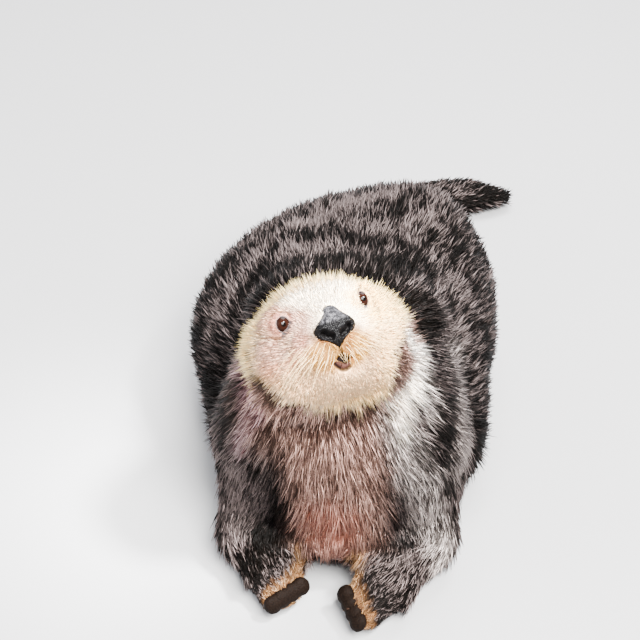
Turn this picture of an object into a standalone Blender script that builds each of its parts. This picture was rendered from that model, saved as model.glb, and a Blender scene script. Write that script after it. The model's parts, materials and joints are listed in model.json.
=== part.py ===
"""A life-size sea otter, hauled out and at rest: belly and forearms on the floor, head raised and tilted.

The animal faces -Y, its left side is +X, and the floor is Z = 0, in metres. The flesh is one soft
body, blended from named egg and limb forms, and is then parted into nodes by thin cuts. The nose,
eyes, ears, palm pads and claws are their own pieces, set in pockets of the flesh.
"""
import math

import bmesh
import bpy
import numpy as np
from mathutils import Matrix, Vector

# ---------------------------------------------------------------- driving dimensions
GAP = 0.0004  # the cut between two neighbouring pieces
WELD = 0.00002  # points closer than this are one point

# The head's own frame: across to the animal's left, forward along the muzzle, and up over the crown.
HEAD_CENTRE = Vector((-0.0135, -0.060, 0.295))
HEAD_YAW = math.radians(11)  # muzzle turned to the animal's left
HEAD_PITCH = math.radians(48)  # muzzle raised above the horizon
HEAD_ROLL = math.radians(12.5)  # crown leaning to the animal's right
HEAD_HALF_WIDTH = 0.079

TRUNK_HALF_WIDTH = 0.168
TRUNK_TOP = 0.268
RUMP_Y = 0.335
BODY_BEND = 0.030  # how far the rump lies to the animal's left of its chest
TAIL_LENGTH = 0.290  # along its middle line, from its root inside the rump
HINDFOOT_LENGTH = 0.190
EYE_RADIUS = 0.0088
EYE_PLACE = (0.0400, 0.0515, 0.0202)  # across, forward and up, on the head
NOSE_HALF_WIDTH = 0.0192
EAR_LENGTH = 0.027
CLAW_LENGTH = 0.009

BLOCKOUT_VOXEL = 0.0055
FLESH_TRIANGLES = 3100
SPARING = 0.00006  # how strongly thinning spares the head and forepaws
SETTLE_STEPS = 9
MOST_STEP = 0.006  # how far one settling step may move a point

SIDES = {"left": 1, "right": -1}


# ---------------------------------------------------------------- the frame of the head
def head_axes():
    """The head's across, forward and up directions, as a matrix whose columns they are."""
    forward = Vector(
        (
            math.sin(HEAD_YAW) * math.cos(HEAD_PITCH),
            -math.cos(HEAD_YAW) * math.cos(HEAD_PITCH),
            math.sin(HEAD_PITCH),
        )
    )
    level = Vector((math.cos(HEAD_YAW), math.sin(HEAD_YAW), 0))
    upright = forward.cross(level)
    across = level * math.cos(HEAD_ROLL) + upright * math.sin(HEAD_ROLL)
    up = upright * math.cos(HEAD_ROLL) - level * math.sin(HEAD_ROLL)
    return Matrix((across, forward, up)).transposed()


HEAD_AXES = head_axes()


def on_head(across, forward, up):
    """A place given in the head's own frame."""
    return HEAD_CENTRE + HEAD_AXES @ Vector((across, forward, up))


def level(direction):
    """The same direction, laid flat."""
    return Vector((direction[0], direction[1], 0))


def aimed(direction, upward=(0, 0, 1)):
    """Axes whose Y runs along direction, with Z as near upward as it can be."""
    y = Vector(direction).normalized()
    x = y.cross(Vector(upward)).normalized()
    return Matrix((x, y, x.cross(y))).transposed()


# ---------------------------------------------------------------- soft forms
class Egg:
    """An ellipsoid with its own axes. blend is how softly it runs into the forms before it."""

    def __init__(self, centre, radii, blend=0.03, axes=None):
        self.centre = Vector(centre)
        self.radii = Vector(radii)
        self.axes = axes or Matrix.Identity(3)
        self.blend = blend

    def distance(self, points):
        local = (points - np.array(self.centre)) @ np.array(self.axes)
        radii = np.array(self.radii)
        near = np.linalg.norm(local / radii, axis=1)
        slope = np.linalg.norm(local / radii**2, axis=1)
        return near * (near - 1) / np.maximum(slope, 1e-9)

    def block(self, mesh):
        turn = Matrix.Translation(self.centre) @ self.axes.to_4x4()
        matrix = turn @ Matrix.Diagonal((*self.radii, 1))
        bmesh.ops.create_icosphere(mesh, subdivisions=3, radius=1, matrix=matrix)


class Limb:
    """A tapered rod with round ends. flat squashes it in height about its own middle line."""

    def __init__(self, start, end, radii, blend=0.02, flat=1.0):
        self.start, self.end = Vector(start), Vector(end)
        self.radii = radii
        self.blend = blend
        self.flat = flat

    def distance(self, points):
        start = np.array(self.start)
        along = np.array(self.end) - start
        away = points - start
        share = np.clip(away @ along / (along @ along), 0, 1)
        off = away - share[:, None] * along
        off[:, 2] /= self.flat
        radius = self.radii[0] + (self.radii[1] - self.radii[0]) * share
        return (np.linalg.norm(off, axis=1) - radius) * self.flat

    def block(self, mesh, rounds=2):
        rod = bmesh.new()
        for place, radius in zip((self.start, self.end), self.radii):
            shape = Matrix.Translation(place) @ Matrix.Diagonal((1, 1, self.flat, 1))
            bmesh.ops.create_icosphere(rod, subdivisions=rounds, radius=radius, matrix=shape)
        bmesh.ops.delete(rod, geom=rod.edges[:] + rod.faces[:], context="EDGES_FACES")
        bmesh.ops.convex_hull(rod, input=rod.verts)
        inner = [v for v in rod.verts if not v.link_faces]
        bmesh.ops.delete(rod, geom=inner, context="VERTS")
        shell = bpy.data.meshes.new("rod")
        rod.to_mesh(shell)
        rod.free()
        mesh.from_mesh(shell)
        bpy.data.meshes.remove(shell)


def blended(forms, points):
    """Signed distance to all forms run together: negative inside the flesh."""
    whole = forms[0].distance(points)
    for form in forms[1:]:
        other = form.distance(points)
        share = np.clip(0.5 + 0.5 * (other - whole) / form.blend, 0, 1)
        whole = other * (1 - share) + whole * share - form.blend * share * (1 - share)
    return whole


def trunk_forms():
    """Belly, hump of the back, loins and rump, bending a little to the animal's left."""
    middle = TRUNK_TOP / 2 - 0.016
    return [
        Egg((-0.004, 0.188, middle - 0.008), (TRUNK_HALF_WIDTH, 0.180, middle), 0.05),
        Egg((0.008, 0.090, 0.062), (0.149, 0.134, 0.078), 0.04),
        Egg((0.010, 0.110, TRUNK_TOP - 0.114), (0.118, 0.140, 0.114), 0.05),
        Egg((0.022, 0.225, 0.128), (0.118, 0.130, 0.106), 0.05),
        Egg((0.072, 0.268, 0.158), (0.066, 0.085, 0.076), 0.05),
        Egg((BODY_BEND, RUMP_Y, 0.078), (0.112, 0.112, 0.086), 0.06),
    ]


def chest_forms():
    """Chest, the two shoulders and the fold of skin at the nape."""
    forms = [
        Egg((0.004, -0.022, 0.128), (0.100, 0.096, 0.112), 0.05),
        Egg((0.004, -0.050, 0.075), (0.070, 0.060, 0.058), 0.035),
    ]
    for side in SIDES.values():
        forms.append(Egg((0.004 + side * 0.073, -0.005, 0.140), (0.043, 0.072, 0.078), 0.04))
    forms.append(Egg((0.002, 0.070, 0.232), (0.098, 0.052, 0.046), 0.03))
    return forms


def neck_forms():
    return [
        Egg((-0.002, -0.022, 0.185), (0.097, 0.084, 0.080), 0.045),
        Egg((-0.006, -0.026, 0.232), (0.084, 0.070, 0.056), 0.03),
    ]


def head_egg(across, forward, up, radii, blend=0.02):
    return Egg(on_head(across, forward, up), radii, blend, HEAD_AXES)


def head_forms():
    """Cranium, cheeks, brows, muzzle with its whisker pads, chin and throat."""
    forms = [
        head_egg(0, -0.012, 0.011, (0.073, 0.068, 0.057), 0.014),
        head_egg(0, 0.006, -0.036, (0.060, 0.054, 0.031), 0.016),
        head_egg(0, 0.046, -0.010, (0.043, 0.041, 0.034), 0.03),
        head_egg(0, 0.060, 0.006, (0.020, 0.030, 0.014), 0.02),
        head_egg(0, 0.054, -0.044, (0.027, 0.030, 0.017), 0.016),
    ]
    for side in SIDES.values():
        forms.append(head_egg(side * 0.038, 0.010, -0.017, (0.041, 0.047, 0.044), 0.03))
        forms.append(head_egg(side * 0.0185, 0.072, -0.021, (0.0215, 0.0185, 0.017), 0.012))
        forms.append(head_egg(side * 0.038, 0.034, 0.031, (0.020, 0.016, 0.010), 0.016))
    return forms


# Where each foreleg goes: shoulder, elbow, wrist and the middle of the paw, which rests on its outer edge.
FORELEGS = {
    "left": {
        "shoulder": (0.080, -0.008, 0.125),
        "elbow": (0.084, -0.056, 0.040),
        "wrist": (0.056, -0.122, 0.032),
        "paw": (0.034, -0.150, 0.022),
        "row": (0.42, -0.87, -0.25),  # along the row of toes, inner toe to outer toe
        "faces": (-0.72, -0.48, 0.50),  # the way the pads face
    },
    "right": {
        "shoulder": (-0.074, -0.008, 0.125),
        "elbow": (-0.081, -0.056, 0.040),
        "wrist": (-0.064, -0.104, 0.032),
        "paw": (-0.053, -0.129, 0.022),
        "row": (-0.80, -0.53, -0.27),
        "faces": (0.42, -0.86, 0.28),
    },
}
TOES = 4
TOE_SPREAD = 0.0115  # from one toe of the paw to the next
TOE_RADIUS = 0.0088
PAD_RADII = (0.0076, 0.0048, 0.0088)


def paw_axes(name):
    """The paw's axes: X along the row of toes, Y the way the pads face, Z across both."""
    row = Vector(FORELEGS[name]["row"]).normalized()
    faces = Vector(FORELEGS[name]["faces"])
    faces = (faces - row * faces.dot(row)).normalized()
    return Matrix((row, faces, row.cross(faces))).transposed()


def on_paw(name, along_row, out, over):
    return Vector(FORELEGS[name]["paw"]) + paw_axes(name) @ Vector((along_row, out, over))


def toe_places():
    """How far along the row each toe of a forepaw lies."""
    return [(n - (TOES - 1) / 2) * TOE_SPREAD for n in range(TOES)]


def foreleg_forms(name):
    leg = FORELEGS[name]
    forms = [
        Limb(leg["shoulder"], leg["elbow"], (0.048, 0.039), 0.03),
        Limb(leg["elbow"], leg["wrist"], (0.039, 0.031), 0.022),
        Limb(leg["wrist"], leg["paw"], (0.029, 0.022), 0.015),
        Egg(on_paw(name, 0, 0.002, 0.0), (0.0265, 0.017, 0.0165), 0.012, paw_axes(name)),
    ]
    for place in toe_places():
        toe = on_paw(name, place, 0.0105, 0.001)
        forms.append(Egg(toe, (TOE_RADIUS, TOE_RADIUS, TOE_RADIUS * 1.25), 0.006, paw_axes(name)))
    return forms


# A hind foot is a flipper: five webbed toes, the outermost the longest.
HEEL = Vector((0.084, 0.276, 0.022))
HINDFOOT_LEAN = math.radians(0)  # how far the foot points out from straight back
TOE_ANGLES = [math.radians(a) for a in (-11, -5, 1, 7, 13)]  # inner toe to outer toe
TOE_LENGTHS = [0.76, 0.83, 0.90, 0.96, 1.0]  # as shares of the foot's length


def heel_place(side):
    return Vector((BODY_BEND + side * HEEL.x, HEEL.y, HEEL.z))


def hind_toe(side, number):
    """Start and end of a hind toe on the floor."""
    heel = heel_place(side)
    angle = HINDFOOT_LEAN + TOE_ANGLES[number]
    way = Vector((side * math.sin(angle), math.cos(angle), 0))
    length = HINDFOOT_LENGTH * TOE_LENGTHS[number]
    start = heel + way * length * 0.35
    end = heel + way * length
    return start, Vector((end.x, end.y, 0.0085))


def hindleg_forms(name):
    side = SIDES[name]
    heel = heel_place(side)
    knee = Vector((0.008 + side * 0.108, 0.215, 0.052))
    forms = [
        Egg((0.026 + side * 0.078, 0.280, 0.080), (0.056, 0.096, 0.068), 0.04),
        Limb(knee, heel, (0.044, 0.027), 0.03),
    ]
    middle = heel + Vector((side * math.sin(HINDFOOT_LEAN), math.cos(HINDFOOT_LEAN), 0)) * 0.06
    forms.append(Limb(heel, (middle.x, middle.y, 0.014), (0.025, 0.021), 0.02, flat=0.75))
    for number in range(len(TOE_ANGLES)):
        start, end = hind_toe(side, number)
        start = Vector((start.x, start.y, 0.012))
        forms.append(Limb(start, end, (0.0115, 0.0085), 0.008))
        if number:
            inner_start, inner_end = hind_toe(side, number - 1)
            web_start = (start + Vector((inner_start.x, inner_start.y, 0.010))) / 2
            web_end = start.lerp((end + inner_end) / 2, 0.90)
            web_end.z = 0.005
            forms.append(Limb(web_start, web_end, (0.011, 0.011), 0.006, flat=0.45))
    return forms


def tail_points():
    """The tail's middle line, root to tip, curling to the animal's left along the floor."""
    steps = 6
    root = Vector((BODY_BEND, RUMP_Y + 0.080, 0.042))
    points = [root]
    for step in range(1, steps + 1):
        turn = math.radians(-30 + 20 * step)
        way = Vector((math.sin(turn), math.cos(turn), 0))
        place = points[-1] + way * TAIL_LENGTH / steps
        place.z = max(0.017, root.z - 0.013 * step)
        points.append(place)
    return points


def tail_forms():
    points = tail_points()
    radii = [0.038 - 0.0036 * n for n in range(len(points))]
    forms = []
    for n in range(len(points) - 1):
        flat = 0.85 - 0.05 * n
        forms.append(Limb(points[n], points[n + 1], (radii[n], radii[n + 1]), 0.03, flat))
    return forms


def flesh_forms():
    forms = trunk_forms() + chest_forms() + neck_forms() + head_forms()
    for name in SIDES:
        forms += foreleg_forms(name) + hindleg_forms(name)
    return forms + tail_forms()


# ---------------------------------------------------------------- making and cutting meshes
def collection(name):
    made = bpy.data.collections.new(name)
    bpy.context.scene.collection.children.link(made)
    return made


def new_object(name, mesh, home):
    made = bpy.data.objects.new(name, mesh)
    home.objects.link(made)
    return made


def mesh_from(name, build):
    """A mesh that build fills, given a bmesh, with its faces turned outward."""
    work = bmesh.new()
    build(work)
    bmesh.ops.recalc_face_normals(work, faces=work.faces)
    mesh = bpy.data.meshes.new(name)
    work.to_mesh(mesh)
    work.free()
    return mesh


def bake_modifiers(obj):
    """The object's mesh as its modifiers leave it, with no modifier on it."""
    graph = bpy.context.evaluated_depsgraph_get()
    mesh = bpy.data.meshes.new_from_object(obj.evaluated_get(graph))
    obj.modifiers.clear()
    obj.data = mesh
    return obj


def settle(mesh, forms):
    """Moves every point of a block-out onto the blended surface of its forms."""
    points = np.empty(len(mesh.vertices) * 3)
    mesh.vertices.foreach_get("co", points)
    points = points.reshape(-1, 3)
    probe = 0.0008
    for _ in range(SETTLE_STEPS):
        here = blended(forms, points)
        slope = np.stack(
            [
                (blended(forms, points + shift) - blended(forms, points - shift)) / (2 * probe)
                for shift in np.eye(3) * probe
            ],
            axis=1,
        )
        size = np.maximum((slope**2).sum(axis=1), 0.05)
        step = -here[:, None] * slope / size[:, None]
        length = np.linalg.norm(step, axis=1, keepdims=True)
        points += step * np.minimum(1, MOST_STEP / np.maximum(length, 1e-9))
    mesh.vertices.foreach_set("co", points.ravel())


def relaxed(obj, rounds, factor=0.5):
    smooth = obj.modifiers.new("even out", "SMOOTH")
    smooth.iterations = rounds
    smooth.factor = factor
    return bake_modifiers(obj)


def keep_detail(obj):
    """A vertex group that spares the head and the forepaws when the mesh is thinned."""
    group = obj.vertex_groups.new(name="thin here")
    paws = [Vector(FORELEGS[name]["paw"]) for name in SIDES]
    for vertex in obj.data.vertices:
        spot = vertex.co
        head = (spot - on_head(0, 0.04, -0.01)).length
        paw = min((spot - place).length for place in paws)
        fine = max(1 - head / 0.10, 1 - paw / 0.045)
        group.add([vertex.index], 1 - 0.5 * max(0.0, min(1.0, fine * 1.6)), "REPLACE")
    return group.name


def flesh(home):
    """The whole soft body as one closed mesh, cut flat where it meets the floor."""
    forms = flesh_forms()
    mesh = mesh_from("flesh", lambda work: [form.block(work) for form in forms])
    body = new_object("flesh", mesh, home)
    remesh = body.modifiers.new("join", "REMESH")
    remesh.mode = "VOXEL"
    remesh.voxel_size = BLOCKOUT_VOXEL
    bake_modifiers(body)
    settle(body.data, forms)
    relaxed(body, 2)
    settle(body.data, forms)
    thin = body.modifiers.new("thin", "DECIMATE")
    thin.ratio = FLESH_TRIANGLES / (2 * len(body.data.polygons))
    thin.vertex_group = keep_detail(body)
    thin.vertex_group_factor = SPARING
    bake_modifiers(body)
    body.vertex_groups.clear()
    return cut_at_floor(body)


def cut_at_floor(body):
    work = bmesh.new()
    work.from_mesh(body.data)
    everything = work.verts[:] + work.edges[:] + work.faces[:]
    cut = bmesh.ops.bisect_plane(
        work, geom=everything, plane_co=(0, 0, 0), plane_no=(0, 0, -1), clear_outer=True
    )
    rim = [e for e in cut["geom_cut"] if isinstance(e, bmesh.types.BMEdge)]
    bmesh.ops.holes_fill(work, edges=rim, sides=0)
    bmesh.ops.recalc_face_normals(work, faces=work.faces)
    bmesh.ops.triangulate(work, faces=work.faces)
    work.to_mesh(body.data)
    work.free()
    return body


def combine(obj, other, operation, solver="EXACT"):
    """Union, difference or intersection with another piece, left as clean triangles."""
    boolean = obj.modifiers.new(operation.lower(), "BOOLEAN")
    boolean.operation = operation
    boolean.solver = solver
    boolean.object = other
    bake_modifiers(obj)
    work = bmesh.new()
    work.from_mesh(obj.data)
    bmesh.ops.triangulate(work, faces=work.faces)
    bmesh.ops.remove_doubles(work, verts=work.verts, dist=WELD)
    bmesh.ops.dissolve_degenerate(work, edges=work.edges, dist=WELD)
    bmesh.ops.triangulate(work, faces=work.faces)
    work.to_mesh(obj.data)
    work.free()
    return obj


def grown(obj, helpers, by=GAP):
    """A copy of a piece, a little larger all round, that cuts its pocket."""
    work = bmesh.new()
    work.from_mesh(obj.data)
    for vertex in work.verts:
        vertex.normal_update()
    moves = [vertex.normal * by for vertex in work.verts]
    for vertex, move in zip(work.verts, moves):
        vertex.co += move
    mesh = bpy.data.meshes.new(obj.name + " pocket")
    work.to_mesh(mesh)
    work.free()
    return helper(new_object(mesh.name, mesh, helpers))


def helper(obj):
    obj.hide_render = True
    obj.display_type = "WIRE"
    return obj


def region_box(name, helpers, low, high, axes=None, origin=(0, 0, 0), by=0.0):
    """A box between two corners, given in its own axes about an origin."""
    low, high = Vector(low) - Vector((by,) * 3), Vector(high) + Vector((by,) * 3)
    place = Matrix.Translation(Vector(origin)) @ (axes or Matrix.Identity(3)).to_4x4()
    shape = Matrix.Translation((low + high) / 2) @ Matrix.Diagonal((*(high - low), 1))
    mesh = mesh_from(name, lambda work: bmesh.ops.create_cube(work, size=1, matrix=place @ shape))
    return helper(new_object(name, mesh, helpers))


def part_off(body, name, region, home, helpers):
    """Takes what lies in the region's box off the body as its own node, leaving a thin cut.

    The EXACT solver loses the body at the root of the tail, so these cuts use MANIFOLD.
    """
    piece = new_object(name, body.data.copy(), home)
    combine(piece, region_box(name + " keeps", helpers, **region), "INTERSECT", "MANIFOLD")
    combine(body, region_box(name + " leaves", helpers, by=GAP, **region), "DIFFERENCE", "MANIFOLD")
    return piece


# ---------------------------------------------------------------- nodes of the flesh
FAR = 0.6  # beyond the body in any direction


def tilted(degrees):
    """Axes turned about X, so that a cut leans with the body."""
    return Matrix.Rotation(math.radians(degrees), 3, "X")


def slab(degrees, origin, low, high):
    """A box leaning back from upright by degrees."""
    return {"axes": tilted(degrees), "origin": origin, "low": low, "high": high}


def flesh_regions():
    """Node name, then the box that holds it. Later nodes take from what earlier ones left."""
    face = {"axes": HEAD_AXES, "origin": HEAD_CENTRE}
    yield "lower_jaw", {**face, "low": (-0.028, 0.034, -0.085), "high": (0.028, FAR, -0.0375)}
    yield "muzzle", {**face, "low": (-0.028, 0.050, -0.0375 + GAP), "high": (0.028, FAR, 0.014)}
    yield "head", slab(3, (0, -0.060, 0.262), (-FAR, -FAR, 0), (FAR, 0.076, FAR))
    tail = tail_points()
    across = {"low": (-0.055, 0, -0.2), "high": (0.110, 0.20, 0.2)}
    for name, side in SIDES.items():
        inner, outer = sorted((-side * 0.041, side * 0.056))
        foot = {"low": (inner, 0.018, -0.1), "high": (outer, 0.20, 0.014)}
        yield f"hindfoot_{name}", {"origin": heel_place(side), **foot}
    yield "tail_tip", {"axes": aimed(level(tail[4] - tail[3])), "origin": tail[3], **across}
    yield "tail_root", {"axes": aimed(level(tail[1] - tail[0])), "origin": tail[0], **across}
    for name, side in SIDES.items():
        leg = FORELEGS[name]
        outward = np.array(sorted((0, side * FAR)))
        paw = {"axes": aimed(Vector(leg["paw"]) - Vector(leg["wrist"])), "origin": leg["wrist"]}
        yield f"forepaw_{name}", {**paw, "low": (-0.046, 0.004, -0.05), "high": (0.046, 0.10, 0.06)}
        reach = Vector(leg["wrist"]) - Vector(leg["elbow"])
        arm = {"axes": aimed(level(reach)), "origin": leg["elbow"]}
        yield f"forearm_{name}", {**arm, "low": (-0.046, -0.010, -0.10), "high": (0.046, 0.12, 0.032)}
        inner, outer = outward + side * 0.078
        yield f"upper_arm_{name}", {"low": (inner, -0.10, -0.01), "high": (outer, 0.042, 0.158)}
        inner, outer = outward + side * 0.108
        yield f"thigh_{name}", {"low": (inner, 0.165, -0.01), "high": (outer, FAR, 0.125)}
    yield "neck", slab(20, (0, -0.02, 0.180), (-FAR, -FAR, 0), (FAR, 0.10, FAR))
    yield "chest", slab(10, (0, 0.052, 0.13), (-FAR, -FAR, -FAR), (FAR, 0, FAR))
    yield "rump", slab(-12, (0, 0.250, 0.13), (-FAR, 0, -FAR), (FAR, FAR, FAR))


# ---------------------------------------------------------------- hard and bare pieces
def ball(name, centre, radii, home, axes=None, cuts=2):
    turn = Matrix.Translation(Vector(centre)) @ (axes or Matrix.Identity(3)).to_4x4()
    matrix = turn @ Matrix.Diagonal((*radii, 1))
    mesh = mesh_from(
        name, lambda work: bmesh.ops.create_icosphere(work, subdivisions=cuts, radius=1, matrix=matrix)
    )
    return new_object(name, mesh, home)


def eye(name, home):
    return ball(f"eye_{name}", on_head(SIDES[name] * EYE_PLACE[0], *EYE_PLACE[1:]), (EYE_RADIUS,) * 3, home)


def nose(home):
    """The bare nose pad: a shield, narrow on the bridge, broad at the nostrils, drawn to a point below."""
    wide = NOSE_HALF_WIDTH
    forms = [
        head_egg(0, 0.0840, 0.0100, (wide * 0.46, 0.0110, 0.0085), 0.006),
        head_egg(0, 0.0875, 0.0000, (wide * 0.72, 0.0105, 0.0110), 0.010),
        head_egg(0, 0.0895, -0.0135, (wide * 0.40, 0.0085, 0.0084), 0.010),
    ]
    for side in SIDES.values():
        forms.append(head_egg(side * wide * 0.60, 0.0855, -0.0040, (wide * 0.40, 0.0085, 0.0076), 0.008))
    mesh = mesh_from("nose", lambda work: [form.block(work) for form in forms])
    pad = new_object("nose", mesh, home)
    remesh = pad.modifiers.new("join", "REMESH")
    remesh.mode = "VOXEL"
    remesh.voxel_size = 0.0016
    bake_modifiers(pad)
    settle(pad.data, forms)
    thin = pad.modifiers.new("thin", "DECIMATE")
    thin.ratio = 300 / (2 * len(pad.data.polygons))
    return bake_modifiers(pad)


def nostrils(pad, helpers):
    for name, side in SIDES.items():
        place = on_head(side * 0.0098, 0.0965, -0.0062)
        hole = ball(f"nostril_{name}", place, (0.0044, 0.0062, 0.0034), helpers, HEAD_AXES)
        combine(pad, helper(hole), "DIFFERENCE")
    return pad


def ear(name, home, helpers):
    """A small thick ear, low on the side of the head and pointing down and back, with a hollow."""
    side = SIDES[name]
    tip = Vector((side * 0.08, -0.22, -0.97))
    axes = HEAD_AXES @ aimed(tip, upward=(side, 0.35, 0))
    middle = on_head(side * 0.0790, -0.016, 0.003)
    shell = ball(f"ear_{name}", middle, (0.0105, EAR_LENGTH / 2, 0.0052), home, axes)
    hollow_at = middle + axes @ Vector((0, 0.0010, 0.0050))
    hollow = ball(f"ear_{name} hollow", hollow_at, (0.0066, EAR_LENGTH * 0.33, 0.0042), helpers, axes)
    return combine(shell, helper(hollow), "DIFFERENCE")


def palm_pads(name, home):
    """The dark bare pads of a forepaw: a row of lumps run together."""
    axes = paw_axes(name)
    forms = [Egg(on_paw(name, 0, 0.0128, 0.001), (0.0190, 0.0035, 0.0062), 0.004, axes)]
    for place in toe_places():
        forms.append(Egg(on_paw(name, place, 0.0172, 0.0015), PAD_RADII, 0.0035, axes))
    mesh = mesh_from("pads", lambda work: [form.block(work) for form in forms])
    pads = new_object(f"palm_pads_{name}", mesh, home)
    remesh = pads.modifiers.new("join", "REMESH")
    remesh.mode = "VOXEL"
    remesh.voxel_size = 0.0014
    bake_modifiers(pads)
    settle(pads.data, forms)
    thin = pads.modifiers.new("thin", "DECIMATE")
    thin.ratio = 200 / (2 * len(pads.data.polygons))
    bake_modifiers(pads)
    return cut_at_floor(pads)


def claw(name, root, way, home, length=CLAW_LENGTH):
    """A short blunt claw, lying along the way that its toe points and dipping at the tip."""
    way = Vector(way).normalized()
    dip = Vector((0, 0, -0.25))
    tip = Vector(root) + (way + dip).normalized() * length
    form = Limb(root, tip, (0.0026, 0.0010), flat=1.0)
    return new_object(name, mesh_from(name, lambda work: form.block(work, rounds=1)), home)


def hind_claws(home):
    made = []
    for name, side in SIDES.items():
        for number in range(len(TOE_ANGLES)):
            start, end = hind_toe(side, number)
            way = Vector((end.x - start.x, end.y - start.y, 0)).normalized()
            root = Vector((end.x, end.y, 0.0105)) + way * 0.0045
            made.append(claw(f"claw_hind_{name}_{number + 1}", root, way, home))
    return made


# ---------------------------------------------------------------- materials
FINISHES = {
    "blond_fur": ((0.80, 0.70, 0.52), 0.85, 0),
    "silver_fur": ((0.42, 0.36, 0.34), 0.85, 0),
    "dark_fur": ((0.075, 0.058, 0.052), 0.80, 0),
    "nose_skin": ((0.030, 0.030, 0.034), 0.35, 0),
    "pad_skin": ((0.055, 0.042, 0.038), 0.55, 0),
    "eye": ((0.020, 0.010, 0.006), 0.08, 0),
    "claw_horn": ((0.10, 0.08, 0.07), 0.40, 0),
}
WEARS = [
    ("nose", "nose_skin"), ("eye", "eye"), ("palm_pads", "pad_skin"), ("claw", "claw_horn"),
    ("head", "blond_fur"), ("muzzle", "blond_fur"), ("lower_jaw", "blond_fur"), ("ear", "blond_fur"),
    ("neck", "silver_fur"), ("chest", "silver_fur"),
]


def finish(name):
    colour, roughness, metallic = FINISHES[name]
    made = bpy.data.materials.get(name) or bpy.data.materials.new(name)
    made.use_nodes = True
    shader = made.node_tree.nodes["Principled BSDF"]
    shader.inputs["Base Color"].default_value = (*colour, 1)
    shader.inputs["Roughness"].default_value = roughness
    shader.inputs["Metallic"].default_value = metallic
    return made


def dress(obj):
    """Gives a node the finish of its kind, and shades it smooth."""
    wanted = next((slot for start, slot in WEARS if obj.name.startswith(start)), "dark_fur")
    obj.data.materials.clear()
    obj.data.materials.append(finish(wanted))
    obj.data.shade_smooth()


# ---------------------------------------------------------------- the otter
def build():
    for obj in list(bpy.data.objects):
        bpy.data.objects.remove(obj)
    otter = collection("sea otter")
    helpers = collection("cutters")
    body = flesh(otter)
    set_in = [nostrils(nose(otter), helpers)]
    for name in SIDES:
        set_in += [eye(name, otter), ear(name, otter, helpers), palm_pads(name, otter)]
    set_in += hind_claws(otter)
    for piece in set_in:
        combine(body, grown(piece, helpers), "DIFFERENCE")
    for name, region in flesh_regions():
        part_off(body, name, region, otter, helpers)
    body.name = "trunk"
    for obj in otter.objects:
        dress(obj)


build()
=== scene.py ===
# %% [markdown]
# # A sea otter, resting on its belly
# This lesson dresses a bare set of solids as a life-size museum model of a sea otter. The solids are
# the frame: they say how big every part is and where it lies, and nothing here moves them. We grow
# one skin inside them, comb it, plant short locks of fur all over it, and then make the bare pieces
# one by one: eyes, nose, whiskers, pads and claws.

import json
import math
import random

import bmesh
import bpy
import numpy as np
from mathutils import Matrix, Vector, noise
from mathutils.bvhtree import BVHTree
from mathutils.kdtree import KDTree

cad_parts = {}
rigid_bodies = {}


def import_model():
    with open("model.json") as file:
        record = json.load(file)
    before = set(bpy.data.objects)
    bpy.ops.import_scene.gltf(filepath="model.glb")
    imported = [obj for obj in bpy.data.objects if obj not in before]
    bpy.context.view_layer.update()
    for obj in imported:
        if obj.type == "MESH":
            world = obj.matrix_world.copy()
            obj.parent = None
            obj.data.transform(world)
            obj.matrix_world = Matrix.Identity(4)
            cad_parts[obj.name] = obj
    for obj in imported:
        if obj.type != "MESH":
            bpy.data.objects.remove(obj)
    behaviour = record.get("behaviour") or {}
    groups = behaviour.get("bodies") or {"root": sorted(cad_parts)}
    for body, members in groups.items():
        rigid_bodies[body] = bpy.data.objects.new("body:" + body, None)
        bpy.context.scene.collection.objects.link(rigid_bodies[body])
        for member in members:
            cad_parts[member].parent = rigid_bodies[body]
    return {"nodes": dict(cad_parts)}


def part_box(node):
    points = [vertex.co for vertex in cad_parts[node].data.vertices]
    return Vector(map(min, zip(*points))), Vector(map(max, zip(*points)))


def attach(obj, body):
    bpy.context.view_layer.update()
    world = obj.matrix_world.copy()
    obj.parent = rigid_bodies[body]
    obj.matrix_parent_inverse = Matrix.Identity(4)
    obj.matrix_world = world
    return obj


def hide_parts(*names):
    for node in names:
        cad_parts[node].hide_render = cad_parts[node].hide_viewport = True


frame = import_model()
bpy.context.view_layer.update()
nodes = frame["nodes"]

# %% [markdown]
# ## The head's own frame
# An otter's face is easiest to describe in its own directions: across to the animal's left, forward
# along the muzzle, and up over the crown. The head is turned, raised and tilted, so we turn those
# three directions the same way once, and hang them on the two eyes. From here on a place on the face
# is three short numbers, the same for any pose.

# %% Directions and places on the head
HEAD_YAW = math.radians(11)
HEAD_PITCH = math.radians(48)
HEAD_ROLL = math.radians(12.5)
EYE_PLACE = Vector((0.0400, 0.0515, 0.0202))
EYE_RADIUS = 0.0088


def middle(node):
    """The middle of a solid's box."""
    low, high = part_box(node)
    return (low + high) / 2


def head_axes():
    """Across, forward and up on the head, as the columns of a matrix."""
    flat = math.cos(HEAD_PITCH)
    forward = Vector((math.sin(HEAD_YAW) * flat, -math.cos(HEAD_YAW) * flat, math.sin(HEAD_PITCH)))
    level = Vector((math.cos(HEAD_YAW), math.sin(HEAD_YAW), 0))
    upright = forward.cross(level)
    across = level * math.cos(HEAD_ROLL) + upright * math.sin(HEAD_ROLL)
    up = upright * math.cos(HEAD_ROLL) - level * math.sin(HEAD_ROLL)
    return Matrix((across, forward, up)).transposed()


HEAD = head_axes()
between_eyes = (middle("eye_left") + middle("eye_right")) / 2
HEAD_CENTRE = between_eyes - HEAD @ Vector((0, EYE_PLACE.y, EYE_PLACE.z))


def on_head(across, forward, up):
    return HEAD_CENTRE + HEAD @ Vector((across, forward, up))


def head_places(points):
    """The same points in the head's directions: one row each of across, forward and up."""
    return (points - np.array(HEAD_CENTRE)) @ np.array(HEAD)


def mirrored(place):
    """The same place on the other side of the head."""
    return Vector((-place[0], place[1], place[2]))


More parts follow.
